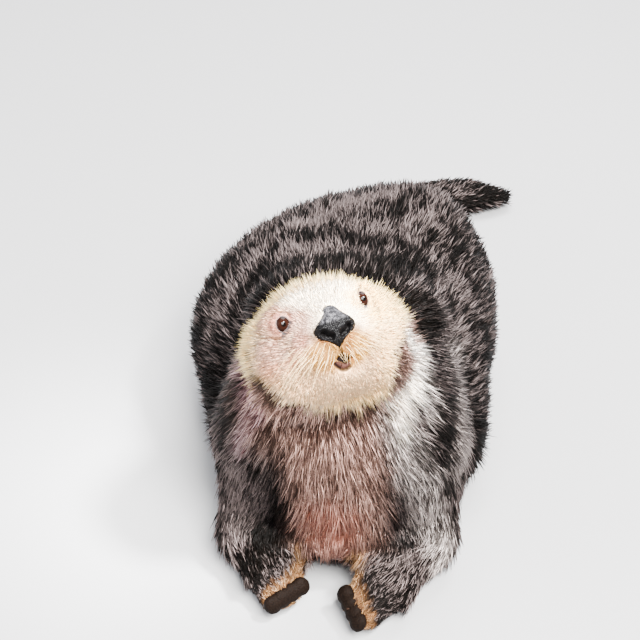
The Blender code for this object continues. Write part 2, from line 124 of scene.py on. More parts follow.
print("head centre", [round(c, 4) for c in HEAD_CENTRE])

# %% [markdown]
# ## One skin
# The solids part the flesh at the neck, wrists and so on, and a seam there would show. So we copy
# them all into one mesh, swell each copy by a hair so that neighbours overlap, and let a voxel
# remesh melt them together. The eyes and nose go in too, only to fill their pockets. Remeshing gives
# even, small faces, which is what combing and sculpting need.

# %% Melt the flesh solids together
SKIN_VOXEL = 0.0036
BARE_PIECES = ("eye", "nose", "claw", "palm_pads")
SWELL = 0.0005

flesh_nodes = sorted(name for name in nodes if not name.startswith(BARE_PIECES))
filling = ["eye_left", "eye_right", "nose"]


def welded(node, swell=0.0):
    """A bmesh of one solid, its loose triangles joined, moved outwards by swell."""
    work = bmesh.new()
    work.from_mesh(nodes[node].data)
    bmesh.ops.remove_doubles(work, verts=work.verts, dist=0.00001)
    work.normal_update()
    for vert in work.verts:
        vert.co += vert.normal * swell
    return work


def finished_mesh(work, name, smooth=False):
    """The bmesh written out as a new mesh, shaded smooth if asked, and freed."""
    for face in work.faces:
        face.smooth = smooth or face.smooth
    mesh = bpy.data.meshes.new(name)
    work.to_mesh(mesh)
    work.free()
    return mesh


def new_object(name, data):
    """A new object in the scene that shows the mesh, light or camera."""
    made = bpy.data.objects.new(name, data)
    bpy.context.scene.collection.objects.link(made)
    return made


def as_plain_mesh(obj):
    """The object's shape with its modifiers worked in, as a new mesh."""
    depsgraph = bpy.context.evaluated_depsgraph_get()
    return bpy.data.meshes.new_from_object(obj.evaluated_get(depsgraph))


def melted(name, sources, voxel, swell=SWELL):
    """Several solids melted into one shell by a voxel remesh."""
    joined = bmesh.new()
    for node in sources:
        shell = finished_mesh(welded(node, swell), "shell")
        joined.from_mesh(shell)
        bpy.data.meshes.remove(shell)
    made = new_object(name, finished_mesh(joined, name))
    remesh = made.modifiers.new("melt", "REMESH")
    remesh.mode = "VOXEL"
    remesh.voxel_size = voxel
    made.data = as_plain_mesh(made)
    made.modifiers.clear()
    return made


skin = melted("skin", flesh_nodes + filling, SKIN_VOXEL)
print("skin:", len(skin.data.vertices), "points,", len(skin.data.polygons), "faces")

# %% [markdown]
# ## Finer where it matters
# The animal's face needs a finer mesh than its back: a lid is only a millimetre thick. We split the
# mesh once all over the face, and once more round each eye, each ear and the mouth.

# %% Finer faces where the detail is
EAR_PLACE = Vector((0.0790, -0.0160, -0.0060))
# a place on the head and how far round it the faces are split
FINE_PLACES = [
    ((0, 0.050, -0.010), 0.066),
    (EYE_PLACE, 0.021),
    (mirrored(EYE_PLACE), 0.021),
    (EAR_PLACE, 0.022),
    (mirrored(EAR_PLACE), 0.022),
    ((0, 0.084, -0.032), 0.017),
]


def split_faces(obj, places):
    """Cuts each edge near the places in two, round one place after the other."""
    work = bmesh.new()
    work.from_mesh(obj.data)
    for place, reach in places:
        centre = on_head(*place)
        near = [e for e in work.edges if ((e.verts[0].co + e.verts[1].co) / 2 - centre).length < reach]
        bmesh.ops.subdivide_edges(work, edges=near, cuts=1, use_grid_fill=True, smooth=0.0)
        bmesh.ops.triangulate(work, faces=[f for f in work.faces if len(f.verts) > 4])
    work.to_mesh(obj.data)
    work.free()


split_faces(skin, FINE_PLACES)
print("with a fine face:", len(skin.data.vertices), "points")

# %% [markdown]
# ## Reading and smoothing the skin as arrays
# From here the skin is handled as whole arrays of points, because a loop over a hundred thousand
# points is slow. The one tool we need is a spread: each point takes the average of its neighbours.
# A few rounds smooth the shape, and on labels it turns a hard border into a soft blend.

# %% Arrays and spreading
class Surface:
    """A mesh's points, edges and normals as arrays."""

    def __init__(self, mesh):
        self.mesh = mesh
        self.count = len(mesh.vertices)
        self.points = np.empty(self.count * 3)
        mesh.vertices.foreach_get("co", self.points)
        self.points = self.points.reshape(-1, 3)
        edges = np.empty(len(mesh.edges) * 2, np.int64)
        mesh.edges.foreach_get("vertices", edges)
        self.edges = edges.reshape(-1, 2)
        self.ends = np.concatenate([self.edges, self.edges[:, ::-1]])
        self.valence = np.bincount(self.ends[:, 0], minlength=self.count)

    def around(self, values):
        """For each point, the mean of values over its neighbours."""
        columns = values.reshape(self.count, -1)
        sums = [np.bincount(self.ends[:, 0], c[self.ends[:, 1]], self.count) for c in columns.T]
        return (np.stack(sums, 1) / np.maximum(self.valence, 1)[:, None]).reshape(values.shape)

    def spread(self, values, rounds, share=0.5):
        """The values after some rounds of moving each towards its neighbours' mean."""
        for _ in range(rounds):
            values = values + share * (self.around(values) - values)
        return values

    def normals(self):
        """Writes the points back to the mesh and reads its normals."""
        self.mesh.vertices.foreach_set("co", self.points.astype(np.float32).ravel())
        self.mesh.update()
        out = np.empty(self.count * 3, np.float32)
        self.mesh.vertex_normals.foreach_get("vector", out)
        return out.reshape(-1, 3).astype(float)


def ramp(values, start, end):
    """0 at start, 1 at end, turning smoothly between."""
    share = np.clip((values - start) / (end - start), 0, 1)
    return share * share * (3 - 2 * share)


def spot(places, centre, reach):
    """1 at centre, falling smoothly to 0 at reach. reach is one number or one for each direction."""
    return 1 - ramp(np.linalg.norm((places - np.array(centre)) / np.array(reach), axis=1), 0.25, 1)


surface = Surface(skin.data)
print("edges:", len(surface.edges))

# %% [markdown]
# ## What grows where
# Every point of the skin belongs to the solid that it lies nearest, so the frame itself tells us
# where the neck ends and the chest begins. For each part we write down how long its fur is, how
# deep the coat lies, how steeply the locks stand and how wide they are. Spread over the skin, these
# numbers run softly into one another, as a coat does.

# %% The coat of each part of the body
# for each part: length of a lock, depth of the coat, lift in degrees, width of a lock
COATS = {
    "muzzle": (0.0060, 0.0022, 20, 0.0008),
    "lower_jaw": (0.0085, 0.0030, 20, 0.0009),
    "head": (0.0100, 0.0038, 25, 0.0010),
    "ear": (0.0040, 0.0008, 14, 0.0009),
    "neck": (0.0297, 0.0085, 20, 0.0012),
    "chest": (0.0362, 0.0080, 16, 0.0012),
    "trunk": (0.0240, 0.0085, 25, 0.0020),
    "rump": (0.0230, 0.0075, 23, 0.0024),
    "thigh": (0.0200, 0.0060, 21, 0.0024),
    "upper_arm": (0.0284, 0.0065, 18, 0.0014),
    "forearm": (0.0225, 0.0052, 18, 0.0014),
    "forepaw": (0.0080, 0.0024, 17, 0.0012),
    "hindfoot": (0.0080, 0.0018, 13, 0.0017),
    "tail": (0.0150, 0.0042, 18, 0.0022),
}


def part_of(node):
    return next(part for part in COATS if node.startswith(part))


def tree_of(places):
    """A tree for finding the nearest of many places."""
    tree = KDTree(len(places))
    for number, place in enumerate(places):
        tree.insert(place, number)
    tree.balance()
    return tree


def nearest_nodes(points):
    """For each point, the flesh solid whose surface it lies nearest."""
    owners = []
    places = []
    for node in flesh_nodes:
        mesh = nodes[node].data
        corners = np.empty(len(mesh.vertices) * 3)
        mesh.vertices.foreach_get("co", corners)
        faces = np.empty(len(mesh.polygons) * 3, np.int64)
        mesh.polygons.foreach_get("vertices", faces)
        corners = corners.reshape(-1, 3)
        middles = corners[faces.reshape(-1, 3)].mean(axis=1)
        for place in (corners, middles):
            places.append(place)
            owners += [node] * len(place)
    tree = tree_of(np.concatenate(places))
    return np.array([owners[tree.find(point)[1]] for point in points])


owner = nearest_nodes(surface.points)
part = np.array([part_of(name) for name in owner])
coat = surface.spread(np.array([COATS[name] for name in part]), 14)
hair_length, coat_depth, hair_lift, hair_width = coat.T
print({str(name): int((part == name).sum()) for name in COATS})

# %% [markdown]
# ## From the tips of the fur down to the skin
# The solids reach out to the tips of the coat, so the skin has to lie deeper by the coat's depth. We
# first smooth away the flat facets of the solids, less on the face so that it keeps its features,
# and then sink every point along its normal. Behind the face the fur is longest and stands up, so
# the crown and the temples sink further.

# %% Smooth and sink
SINK_BEHIND_FACE = 0.0030
SINK_CROWN = 0.0085
SINK_TEMPLE = 0.0030
LOWEST_SKIN = 0.0012

face_places = head_places(surface.points)
on_the_head = surface.spread(np.isin(part, ["head", "muzzle", "lower_jaw", "ear"]).astype(float), 8)
smoothed = surface.spread(surface.points, 14)
finely = surface.spread(surface.points, 4)
share = on_the_head[:, None]
surface.points = finely * share + smoothed * (1 - share)
outward = surface.spread(surface.normals(), 3)
outward /= np.linalg.norm(outward, axis=1)[:, None]
behind_face = on_the_head * ramp(face_places[:, 1], 0.050, 0.015)
crown = behind_face * ramp(face_places[:, 2], 0.020, 0.050)
temple = behind_face * ramp(-face_places[:, 0], 0.020, 0.050)
sink = coat_depth + SINK_BEHIND_FACE * behind_face + SINK_CROWN * crown + SINK_TEMPLE * temple
surface.points -= outward * sink[:, None]
surface.points = surface.spread(surface.points, 2)
surface.points[:, 2] = np.maximum(surface.points[:, 2], LOWEST_SKIN)
print("skin sunk by", round(sink.min() * 1000, 1), "to", round(sink.max() * 1000, 1), "mm")

# %% [markdown]
# ## Ears
# The remesh is too coarse for the small round ears, and the sinking has thinned them. So the points
# there are laid back on the solid ears, fully in the middle and less towards the rim of the patch.

# %% Lay the ears back on their solids
EAR_PATCH = 0.017


def lay_on(surface, node, reach):
    """Points within reach of the solid's middle go to its surface, less and less towards reach."""
    shell = BVHTree.FromPolygons(
        [v.co for v in nodes[node].data.vertices], [tuple(f.vertices) for f in nodes[node].data.polygons]
    )
    centre = np.array(middle(node))
    away = np.linalg.norm(surface.points - centre, axis=1)
    share = 1 - ramp(away, reach * 0.75, reach)
    for number in np.flatnonzero(share > 0):
        place, _, _, gap = shell.find_nearest(Vector(surface.points[number]))
        if gap < reach / 2:
            surface.points[number] = Vector(surface.points[number]).lerp(place, share[number])
    return int((share > 0).sum())


laid = [lay_on(surface, f"ear_{side}", EAR_PATCH) for side in ("left", "right")]
surface.points = surface.spread(surface.points, 1, share=0.4)
print("points laid on the ears:", laid)

# %% [markdown]
# ## Lids
# A lid is a thin fold of skin that lies on the eyeball. Seen from the ball's middle, every point of
# skin nearby is moved to the ball's surface plus a lid's thickness, or behind the ball where the eye
# is open. Two shallow grooves round the opening are the folds that a lid makes when it moves.

# %% Lids round the eyeballs
LID = 0.0010  # thickness of a lid
BEHIND_BALL = 0.0022  # how far the skin in the opening is pressed below the ball's surface
LID_FOLDS = ((10, 3.0), (20, 4.0))  # degrees outside the opening, and half a groove's width
FOLD_DEPTH = 0.0009
LID_REACH = (0.0095, 0.0150)  # beside the gaze, where the skin begins to leave the ball and has left it
PAST_THE_BALL = 100  # degrees off the gaze from which the skin is left alone
# for each eye: side, where the opening looks, its half-angles across and upwards, and its lean
OPENINGS = {
    "left": (1, (0.16, 0.98, -0.14), 24, 57, 3),
    "right": (-1, (0.12, 0.98, -0.22), 47, 56, 0),
}


def unit(vector):
    return np.array(vector) / np.linalg.norm(vector)


def eye_centre(side):
    return on_head(*(EYE_PLACE if side == "left" else mirrored(EYE_PLACE)))


def eye_view(side):
    """Each point as seen from the eyeball's middle.

    Gives the way to it, how far it is, its degrees off the gaze, how many times as far off as the
    opening's edge that is, and its turn round the gaze.
    """
    sign, gaze, wide, tall, lean = OPENINGS[side]
    gaze = unit(gaze)
    across = unit(np.cross(gaze, (0, 0, 1)))
    up = np.cross(across, gaze)
    seen = head_places(surface.points) - np.array((EYE_PLACE.x * sign, EYE_PLACE.y, EYE_PLACE.z))
    far = np.linalg.norm(seen, axis=1)
    way = seen / np.maximum(far, 1e-9)[:, None]
    off = np.degrees(np.arccos(np.clip(way @ gaze, -1, 1)))
    turn = np.arctan2(way @ up, way @ across) - np.radians(lean)
    edge = 1 / np.hypot(np.cos(turn) / wide, np.sin(turn) / tall)
    return way, far, off, off / edge, turn


def sculpt_lids(side):
    """Moves the skin round one eye onto the ball, or behind it in the opening."""
    way, far, off, share, _ = eye_view(side)
    pressed = EYE_RADIUS - BEHIND_BALL
    lid = EYE_RADIUS + LID
    rim = ramp(share, 0.90, 1.02)
    radius = pressed + (lid - pressed) * rim
    margin = off - off / share
    for groove, half in LID_FOLDS:
        place = np.exp(-(((margin - groove) / half) ** 2))
        radius -= place * rim * FOLD_DEPTH
    lateral = far * np.sin(np.radians(off))
    near = (1 - ramp(lateral, *LID_REACH)) * (off < PAST_THE_BALL)
    world_way = way @ np.array(HEAD).T
    goal = np.array(eye_centre(side)) + world_way * radius[:, None]
    surface.points += (goal - surface.points) * near[:, None]


for side in OPENINGS:
    sculpt_lids(side)
print("lids closed round two eyeballs of", EYE_RADIUS * 2000, "mm")

# %% [markdown]
# ## Mouth and nose bed
# The mouth is a short opening, pressed in, with a lip below it. All of it is moving points by rule,
# as a sculptor's brush does: a stroke is strongest along its path and fades out at its reach. The
# skin under the nose pad is pressed in as well, so that no fur can come through the pad.

# %% Mouth, lip and the furrow under the nose
def stroke(points, path, reach, solid=0.15):
    """1 along a path of places and for the solid share of reach from it, then falling to 0 at reach."""
    best = np.full(len(points), 1e9)
    for start, end in zip(path, path[1:]):
        start, end = np.array(start), np.array(end)
        way = end - start
        share = np.clip((points - start) @ way / (way @ way), 0, 1)
        gap = np.linalg.norm(points - start - share[:, None] * way, axis=1)
        best = np.minimum(best, gap)
    return 1 - ramp(best, solid * reach, reach)


def face_stroke(places, path, reach, solid=0.15):
    """A stroke over the front of the face, given as (across, up), which takes no notice of depth."""
    flat = places * (1, 0, 1)
    return stroke(flat, [(across, 0, up) for across, up in path], reach, solid) * (places[:, 1] > 0.020)


# paths on the face, as (across, up)
MOUTH = [(-0.0026, -0.0308), (0.0006, -0.0302), (0.0040, -0.0325), (0.0020, -0.0345), (-0.0026, -0.0308)]
LIP = [(-0.0064, -0.0350), (-0.0035, -0.0378), (0.0006, -0.0390), (0.0040, -0.0376)]
LIP_LINE = [(-0.0096, -0.0335), (-0.0071, -0.0379), (-0.0035, -0.0423), (0.0005, -0.0430), (0.0048, -0.0415)]
LIP_CORNER = [(0.0062, -0.0322), (0.0094, -0.0334)]
FURROW = [(-0.0001, -0.0190), (0.0005, -0.0225), (0.0009, -0.0285)]
# for each: its path, how far forward its middle moves, its reach and its solid share
BRUSHES = [
    (MOUTH, -0.0080, 0.0038, 0.5),
    (LIP, 0.0012, 0.0034, 0.15),
    (LIP_LINE, -0.0012, 0.0018, 0.15),
    (FURROW, -0.0015, 0.0018, 0.15),
]
NOSE_WIDTHS = [
    (-0.0230, 0.0), (-0.0130, 0.0100), (-0.0040, 0.0190), (0.0100, 0.0100), (0.0180, 0.0030), (0.0185, 0.0),
]  # height up the face and half the pad's width there
NOSE_LEAN = 0.07  # how far the pad leans to one side for each step up from its lower tip
PAD_FOOT = -0.0224  # height of that tip
NOSE_BED = 0.010  # how deep the skin under the pad is pressed
FORWARD = np.array(HEAD @ Vector((0, 1, 0)))
places = head_places(surface.points)
for path, move, reach, solid in BRUSHES:
    surface.points += FORWARD * (move * face_stroke(places, path, reach, solid))[:, None]

places = head_places(surface.points)
half_width = np.interp(places[:, 2], *zip(*NOSE_WIDTHS))
off_middle = np.abs(places[:, 0] - NOSE_LEAN * (places[:, 2] - PAD_FOOT))
under_pad = (1 - ramp(off_middle / np.maximum(half_width, 1e-6), 0.70, 1.0)) * (half_width > 0.001)
under_pad *= places[:, 1] > 0.06
surface.points -= FORWARD * (NOSE_BED * under_pad)[:, None]
print("strokes for the mouth:", len(BRUSHES), "points under the pad:", int((under_pad > 0.5).sum()))

# %% [markdown]
# ## Combing
# Fur lies in a direction on every part: away from the nose on the face, away from the head on the
# neck, down the chest, back along the trunk and towards the toes on a limb. We write each of these
# as a vector, flatten it onto the skin, and spread it, so that the lie of the coat turns smoothly
# from one part to the next, the way real hair streams do.

# %% Comb each part
NOSE_TIP = on_head(0, 0.096, -0.004)
THROAT = on_head(0, 0.020, -0.060)
DOWN = Vector((0, 0, -1))


def along(start, end):
    """The direction from one solid to the next."""
    return (middle(end) - middle(start)).normalized()


def away_from(place):
    """A comb that draws every hair away from one place."""
    return lambda points: points - np.array(place)


def steadily(direction):
    """A comb that draws every hair one way."""
    return lambda points: np.tile(np.array(Vector(direction)), (len(points), 1))


COMBS = {
    "muzzle": away_from(NOSE_TIP),
    "lower_jaw": away_from(NOSE_TIP),
    "head": away_from(NOSE_TIP),
    "ear": away_from(NOSE_TIP),
    "neck": away_from(on_head(0, 0.055, 0.03)),
    "chest": away_from(THROAT),
    "trunk": steadily((0.10, 1, -0.28)),
    "rump": steadily((0.03, 1, -0.45)),
    "thigh_left": steadily((0.10, 1, -0.40)),
    "thigh_right": steadily((-0.10, 1, -0.40)),
    "upper_arm_left": steadily((0.25, -0.30, -1)),
    "upper_arm_right": steadily((-0.25, -0.30, -1)),
    "forearm_left": steadily(along("forearm_left", "forepaw_left") + DOWN * 0.2),
    "forearm_right": steadily(along("forearm_right", "forepaw_right") + DOWN * 0.2),
    "forepaw_left": steadily(along("forearm_left", "forepaw_left")),
    "forepaw_right": steadily(along("forearm_right", "forepaw_right")),
    "hindfoot": steadily((0, 1, 0)),
    "tail_root": steadily(along("rump", "tail_root")),
    "tail_tip": steadily(along("tail_root", "tail_tip")),
}


def flat_to_skin(vectors, normals):
    """The part of each vector that lies along the skin, at length 1."""
    flat = vectors - normals * (vectors * normals).sum(axis=1)[:, None]
    return flat / np.maximum(np.linalg.norm(flat, axis=1), 1e-9)[:, None]


normal = surface.normals()
combed = np.zeros_like(surface.points)
for name, comb in COMBS.items():
    here = np.char.startswith(owner, name)
    combed[here] = comb(surface.points[here])
combed /= np.maximum(np.linalg.norm(combed, axis=1), 1e-9)[:, None]
flow = flat_to_skin(surface.spread(combed, 26), normal)
flow = flat_to_skin(surface.spread(flow, 6), normal)
print("combed", len(COMBS), "parts")

# %% [markdown]
# ## Markings
# A sea otter is dark brown all over but for its head, which is straw and cream, its throat and
# chest, which are silver-beige, and the tan fur round its pads. Each marking is a number from 0 to 1
# at every point of the skin. The skin's material and the fur's both read these, so the two always
# carry the same pattern. A few helpers make such numbers: a soft mask over whole parts, a patchy
# noise, a spot on each side of the head, and the strokes that made the mouth.

# %% Masks, patches, spots and strokes
def owned_by(*parts, rounds=10):
    """A soft mask over some parts of the body."""
    return surface.spread(np.isin(part, parts).astype(float), rounds)


def hair_noise(points, size, seed):
    """Smooth random numbers from 0 to 1 over the body, in patches of about size."""
    turn = Vector((seed * 1.7, seed * 3.1, seed * 5.3))
    values = [noise.noise(Vector(point) / size + turn) for point in points]
    return np.clip(np.array(values) * 0.9 + 0.5, 0, 1)


def both_sides(places, centre, reach):
    """A spot on each side of the head."""
    return np.maximum(spot(places, centre, reach), spot(places, mirrored(centre), reach))


def strokes(points, plan, paint=stroke):
    """The strongest of several strokes at each point. The plan has a path, a reach and a strength."""
    return np.max([paint(points, path, reach) * much for path, reach, much in plan], axis=0)


def face_strokes(places, plan):
    """The strongest of several strokes over the front of the face."""
    return strokes(places, plan, face_stroke)


head_area = ramp(owned_by("head", "muzzle", "lower_jaw", "ear", rounds=4), 0.30, 0.70)
print("the head's fur covers", int((head_area > 0.5).sum()), "points")

# %% [markdown]
# ### How long the fur is on the head
# The fur is long and stands up behind the head. It is short on the face, by the eyes and ears and
# under the lip, or it would hide them. Near the ground a lock is cut short where it points down,
# because a resting animal presses its fur flat.

# %% Long behind the face, short on it
GROUND_ROOM = 0.0005
SHORTEST = 0.12  # the least share of its length that a lock keeps near the ground

root_places = head_places(surface.points)
to_the_back = head_area * ramp(root_places[:, 1], 0.050, 0.010)
to_the_nose = head_area * ramp(root_places[:, 1], 0.050, 0.085)
about_eyes = both_sides(root_places, EYE_PLACE, 0.022)
about_ears = both_sides(root_places, EAR_PLACE, 0.026)
under_lip = face_stroke(root_places, LIP, 0.009)
hair_length *= 1 + 0.85 * to_the_back - 0.35 * to_the_nose
hair_length *= (1 - 0.7 * about_eyes) * (1 - 0.5 * under_lip) * (1 - 0.65 * about_ears)
hair_lift *= 1 + 1.0 * to_the_back - 0.3 * about_eyes

leaning = np.radians(hair_lift)[:, None]
reaching = flow * np.cos(leaning) + normal * np.sin(leaning)
drop = -reaching[:, 2] * hair_length
room = surface.points[:, 2] - GROUND_ROOM
hair_length *= np.clip(room / np.maximum(1.3 * drop, 1e-6), SHORTEST, 1)
print("locks", round(hair_length.min() * 1000, 1), "to", round(hair_length.max() * 1000, 1), "mm long")

# %% [markdown]
# ### Where the locks are seen
# A marking is seen where the locks end, so each root is painted by the place that its lock reaches.
# Three noises, one broad, one patchy and one ragged, break up what would otherwise be too even.

# %% Where the locks are seen
LOCK_SEEN = 0.85  # how far along a lock its colour shows most
body = surface.points + reaching * (LOCK_SEEN * hair_length)[:, None]
tip_places = head_places(body)
patchy = hair_noise(body, 0.020, 1)
ragged = hair_noise(body, 0.006, 2)
broad = hair_noise(body, 0.060, 3)
print("colour shows up to", round(float(np.linalg.norm(body - surface.points, axis=1).max()), 3), "m away")

# %% [markdown]
# ### Dark strokes over the body: dark fur and painted shade
# The strokes lie over the coat in the frame's own directions, in metres. Each has its path, its reach
# and its strength. An animal's bands aren't regular, so each is drawn one by one. The dark ones cross
# the back and the shoulders and run down the forelegs.
# Partly darker fur, partly painted shade: behind the raised head, in the nape's creases, armpits, under the
# chin.

# %% Dark strokes
# darker fur, and painted shade behind the head, in creases, at the armpits and under the chin
DARK_FUR_AND_SHADE_STROKES = [
    ([(-0.060, 0.060, 0.280), (0.000, 0.075, 0.285), (0.055, 0.060, 0.278)], 0.032, 1.0),
    (
        [(-0.084, 0.083, 0.253), (-0.057, 0.110, 0.261), (-0.033, 0.108, 0.271), (0.003, 0.112, 0.269)],
        0.022, 0.8,
    ),
    ([(0.003, 0.112, 0.269), (0.022, 0.095, 0.274), (0.051, 0.092, 0.270)], 0.025, 0.8),
    ([(-0.109, 0.125, 0.204), (-0.080, 0.141, 0.229), (-0.057, 0.130, 0.250)], 0.018, 0.9),
    (
        [(-0.040, 0.182, 0.250), (-0.008, 0.186, 0.256), (0.022, 0.154, 0.263), (0.043, 0.175, 0.255)],
        0.018, 1.0,
    ),
    ([(0.043, 0.175, 0.255), (0.071, 0.164, 0.245), (0.093, 0.146, 0.232)], 0.020, 0.9),
    ([(0.051, 0.092, 0.270), (0.063, 0.120, 0.262), (0.087, 0.108, 0.243)], 0.028, 1.0),
    ([(0.085, 0.063, 0.255), (0.101, 0.058, 0.243), (0.079, 0.020, 0.246)], 0.032, 1.0),
    ([(0.041, 0.255, 0.241), (0.064, 0.240, 0.243)], 0.016, 0.8),
    ([(-0.134, 0.093, 0.156), (-0.121, -0.003, 0.167), (-0.113, -0.048, 0.166)], 0.024, 0.55),
    (
        [(0.094, 0.024, 0.227), (0.106, -0.003, 0.217), (0.116, -0.026, 0.184), (0.112, -0.061, 0.160)],
        0.014, 0.8,
    ),
    ([(0.112, -0.061, 0.160), (0.095, -0.080, 0.150)], 0.014, 0.8),
    ([(-0.072, -0.092, 0.193), (-0.054, -0.106, 0.153), (-0.044, -0.109, 0.102)], 0.020, 0.30),
    (
        [(-0.060, -0.098, 0.115), (-0.055, -0.105, 0.075), (-0.074, -0.100, 0.070), (-0.085, -0.122, 0.049)],
        0.024, 0.85,
    ),
    ([(0.043, -0.125, 0.065), (0.069, -0.142, 0.055), (0.089, -0.118, 0.047)], 0.012, 0.10),
    (
        [(-0.042, -0.112, 0.240), (-0.034, -0.098, 0.220), (-0.004, -0.102, 0.222), (0.030, -0.098, 0.224)],
        0.024, 0.55,
    ),
]
print(len(DARK_FUR_AND_SHADE_STROKES), "dark strokes")

# %% [markdown]
# ### Light strokes over the body
# Light bands lie between the dark ones: silver fur, and a painted highlight where a ridge of the coat
# catches the light. Beside the face the ruff is frosted, with a snowy edge where it meets the cheek.

# %% Light strokes
# silver fur, and painted highlight along the ridges of the back and the right shoulder
SILVER_AND_HIGHLIGHT_STROKES = [
    (
        [(-0.143, 0.120, 0.161), (-0.130, 0.146, 0.183), (-0.098, 0.198, 0.211), (-0.057, 0.226, 0.233)],
        0.034, 0.7,
    ),
    (
        [(-0.057, 0.226, 0.233), (-0.010, 0.239, 0.244), (0.019, 0.266, 0.237), (0.047, 0.280, 0.239)],
        0.034, 0.8,
    ),
    (
        [(-0.116, 0.177, 0.201), (-0.091, 0.177, 0.220), (-0.042, 0.158, 0.250), (0.002, 0.139, 0.267)],
        0.017, 0.9,
    ),
    ([(0.035, 0.195, 0.254), (0.050, 0.157, 0.253)], 0.014, 0.8),
    ([(0.108, 0.188, 0.224), (0.147, 0.150, 0.164), (0.147, 0.082, 0.108)], 0.030, 0.3),
    ([(0.106, 0.079, 0.230), (0.118, 0.082, 0.203)], 0.028, 0.50),
    ([(0.121, 0.062, 0.178), (0.130, -0.009, 0.157), (0.126, -0.046, 0.121)], 0.026, 1.0),
    ([(-0.096, -0.073, 0.175), (-0.103, -0.074, 0.094), (-0.091, -0.100, 0.063)], 0.028, 1.1),
    ([(0.043, -0.125, 0.065), (0.069, -0.142, 0.055), (0.089, -0.118, 0.047)], 0.024, 0.42),
]
FROST_STROKES = [
    (
        [(0.081, -0.005, 0.243), (0.084, -0.032, 0.240), (0.092, -0.040, 0.222), (0.100, -0.055, 0.201)],
        0.022, 0.9,
    ),
    (
        [(0.064, -0.092, 0.212), (0.080, -0.093, 0.161), (0.097, -0.081, 0.110), (0.109, -0.091, 0.035)],
        0.034, 0.75,
    ),
    # along the right shoulder's ridge: frosted fur, partly painted highlight
    ([(0.121, 0.062, 0.178), (0.130, -0.009, 0.157), (0.126, -0.046, 0.121)], 0.040, 0.35),
]
SNOW_STROKES = [
    ([(0.071, -0.063, 0.309), (0.073, -0.064, 0.297), (0.074, -0.029, 0.252)], 0.014, 1.0),
    (
        [(0.074, -0.029, 0.252), (0.073, -0.050, 0.248), (0.069, -0.066, 0.239), (0.061, -0.079, 0.232)],
        0.019, 1.0,
    ),
    ([(0.083, -0.005, 0.243), (0.084, -0.032, 0.240), (0.085, -0.056, 0.224)], 0.020, 0.90),
    ([(0.067, -0.066, 0.239), (0.075, -0.071, 0.221), (0.072, -0.085, 0.200)], 0.017, 0.8),
]
print(len(SILVER_AND_HIGHLIGHT_STROKES + FROST_STROKES + SNOW_STROKES), "light strokes")

# %% [markdown]
# ### Tints and shade beside the ears
# Rosy skin shows through beside and below the right ear, with dark streaks in front of both ears:
# dark fur, and painted shade in the fold between the cheek and the neck.

# %% Rosy and dark streaks
ROSE_STROKES = [
    ([(-0.088, -0.084, 0.297), (-0.087, -0.092, 0.289), (-0.092, -0.075, 0.262)], 0.013, 1.0),
    ([(-0.099, -0.026, 0.232), (-0.094, -0.046, 0.231), (-0.089, -0.057, 0.224)], 0.022, 0.9),
    ([(-0.089, -0.057, 0.224), (-0.085, -0.068, 0.218), (-0.082, -0.078, 0.205)], 0.016, 0.9),
    ([(-0.094, -0.057, 0.208), (-0.093, -0.073, 0.188), (-0.097, -0.071, 0.153)], 0.017, 0.30),
]
# dark fur, and painted shade in the folds between the cheeks and the neck
BISTRE_AND_SHADE_STROKES = [
    ([(-0.075, -0.116, 0.284), (-0.068, -0.130, 0.280), (-0.063, -0.125, 0.264)], 0.013, 1.0),
    (
        [(-0.088, -0.086, 0.298), (-0.083, -0.102, 0.292), (-0.080, -0.108, 0.287), (-0.075, -0.116, 0.284)],
        0.0055, 1.0,
    ),
    ([(0.065, -0.089, 0.303), (0.065, -0.091, 0.288), (0.061, -0.101, 0.274)], 0.009, 0.9),
]
print(len(ROSE_STROKES + BISTRE_AND_SHADE_STROKES), "tinted strokes")

# %% [markdown]
# ### Painting the body
# The beige apron runs from the throat down the chest and narrows between the forelegs. Where the
# chest nearly meets the ground, its skin shows through as a blush. The wrists and the fur round the
# pads are tan.

# %% Paint the body
WRISTS = [
    ([(-0.034, -0.112, 0.049), (-0.040, -0.125, 0.040)], 0.012, 0.7),
    ([(0.022, -0.121, 0.053), (0.024, -0.132, 0.040)], 0.014, 0.8),
]
marks = {}
x, y, z = body.T
apron = 1 - ramp(np.abs(x - 0.002), 0.030, 0.070) * (1 - ramp(z, 0.150, 0.215))
apron *= ramp(z, 0.030, 0.065)
marks["beige"] = ramp(owned_by("neck", "chest", rounds=12), 0.15, 0.85) * ramp(y, 0.060, 0.000) * apron
marks["beige"] *= 1 - np.maximum(ramp(x, 0.065, 0.090), 0.8 * ramp(-x, 0.084, 0.100))
marks["blush"] = 0.60 * spot(body, (-0.002, -0.110, 0.092), (0.050, 0.060, 0.056))
marks["rose"] = np.maximum(strokes(body, ROSE_STROKES), 0.9 * owned_by("ear", rounds=2))
marks["frost"] = strokes(body, FROST_STROKES)
marks["snow"] = strokes(body, SNOW_STROKES)
dark = strokes(body, DARK_FUR_AND_SHADE_STROKES)
# patchy dark fur and painted shade under the dark strokes
marks["umber"] = dark * (0.35 + 0.50 * ramp(patchy, 0.15, 0.55))
pad_tree = tree_of([v.co for side in ("left", "right") for v in nodes[f"palm_pads_{side}"].data.vertices])
from_pads = np.array([pad_tree.find(Vector(point))[2] for point in surface.points])
near_pads = 1 - ramp(from_pads + 0.008 * (ragged - 0.5), 0.005, 0.017)
marks["tan"] = np.maximum(near_pads, strokes(body, WRISTS))
print("body markings:", {name: round(float(values.mean()), 3) for name, values in marks.items()})

# %% [markdown]
# ### Silver
# The guard hairs over the dark fur end in silver, but not everywhere: they come in patches, more of
# them in the light bands and fewer in the dark ones. We don't choose the locks here. We only write
# down how lucky a place is, and the fur's material adds each lock's own luck to it. On the chest and
# the ruff the luck is drawn to a middle value, so that those stay evenly streaked.

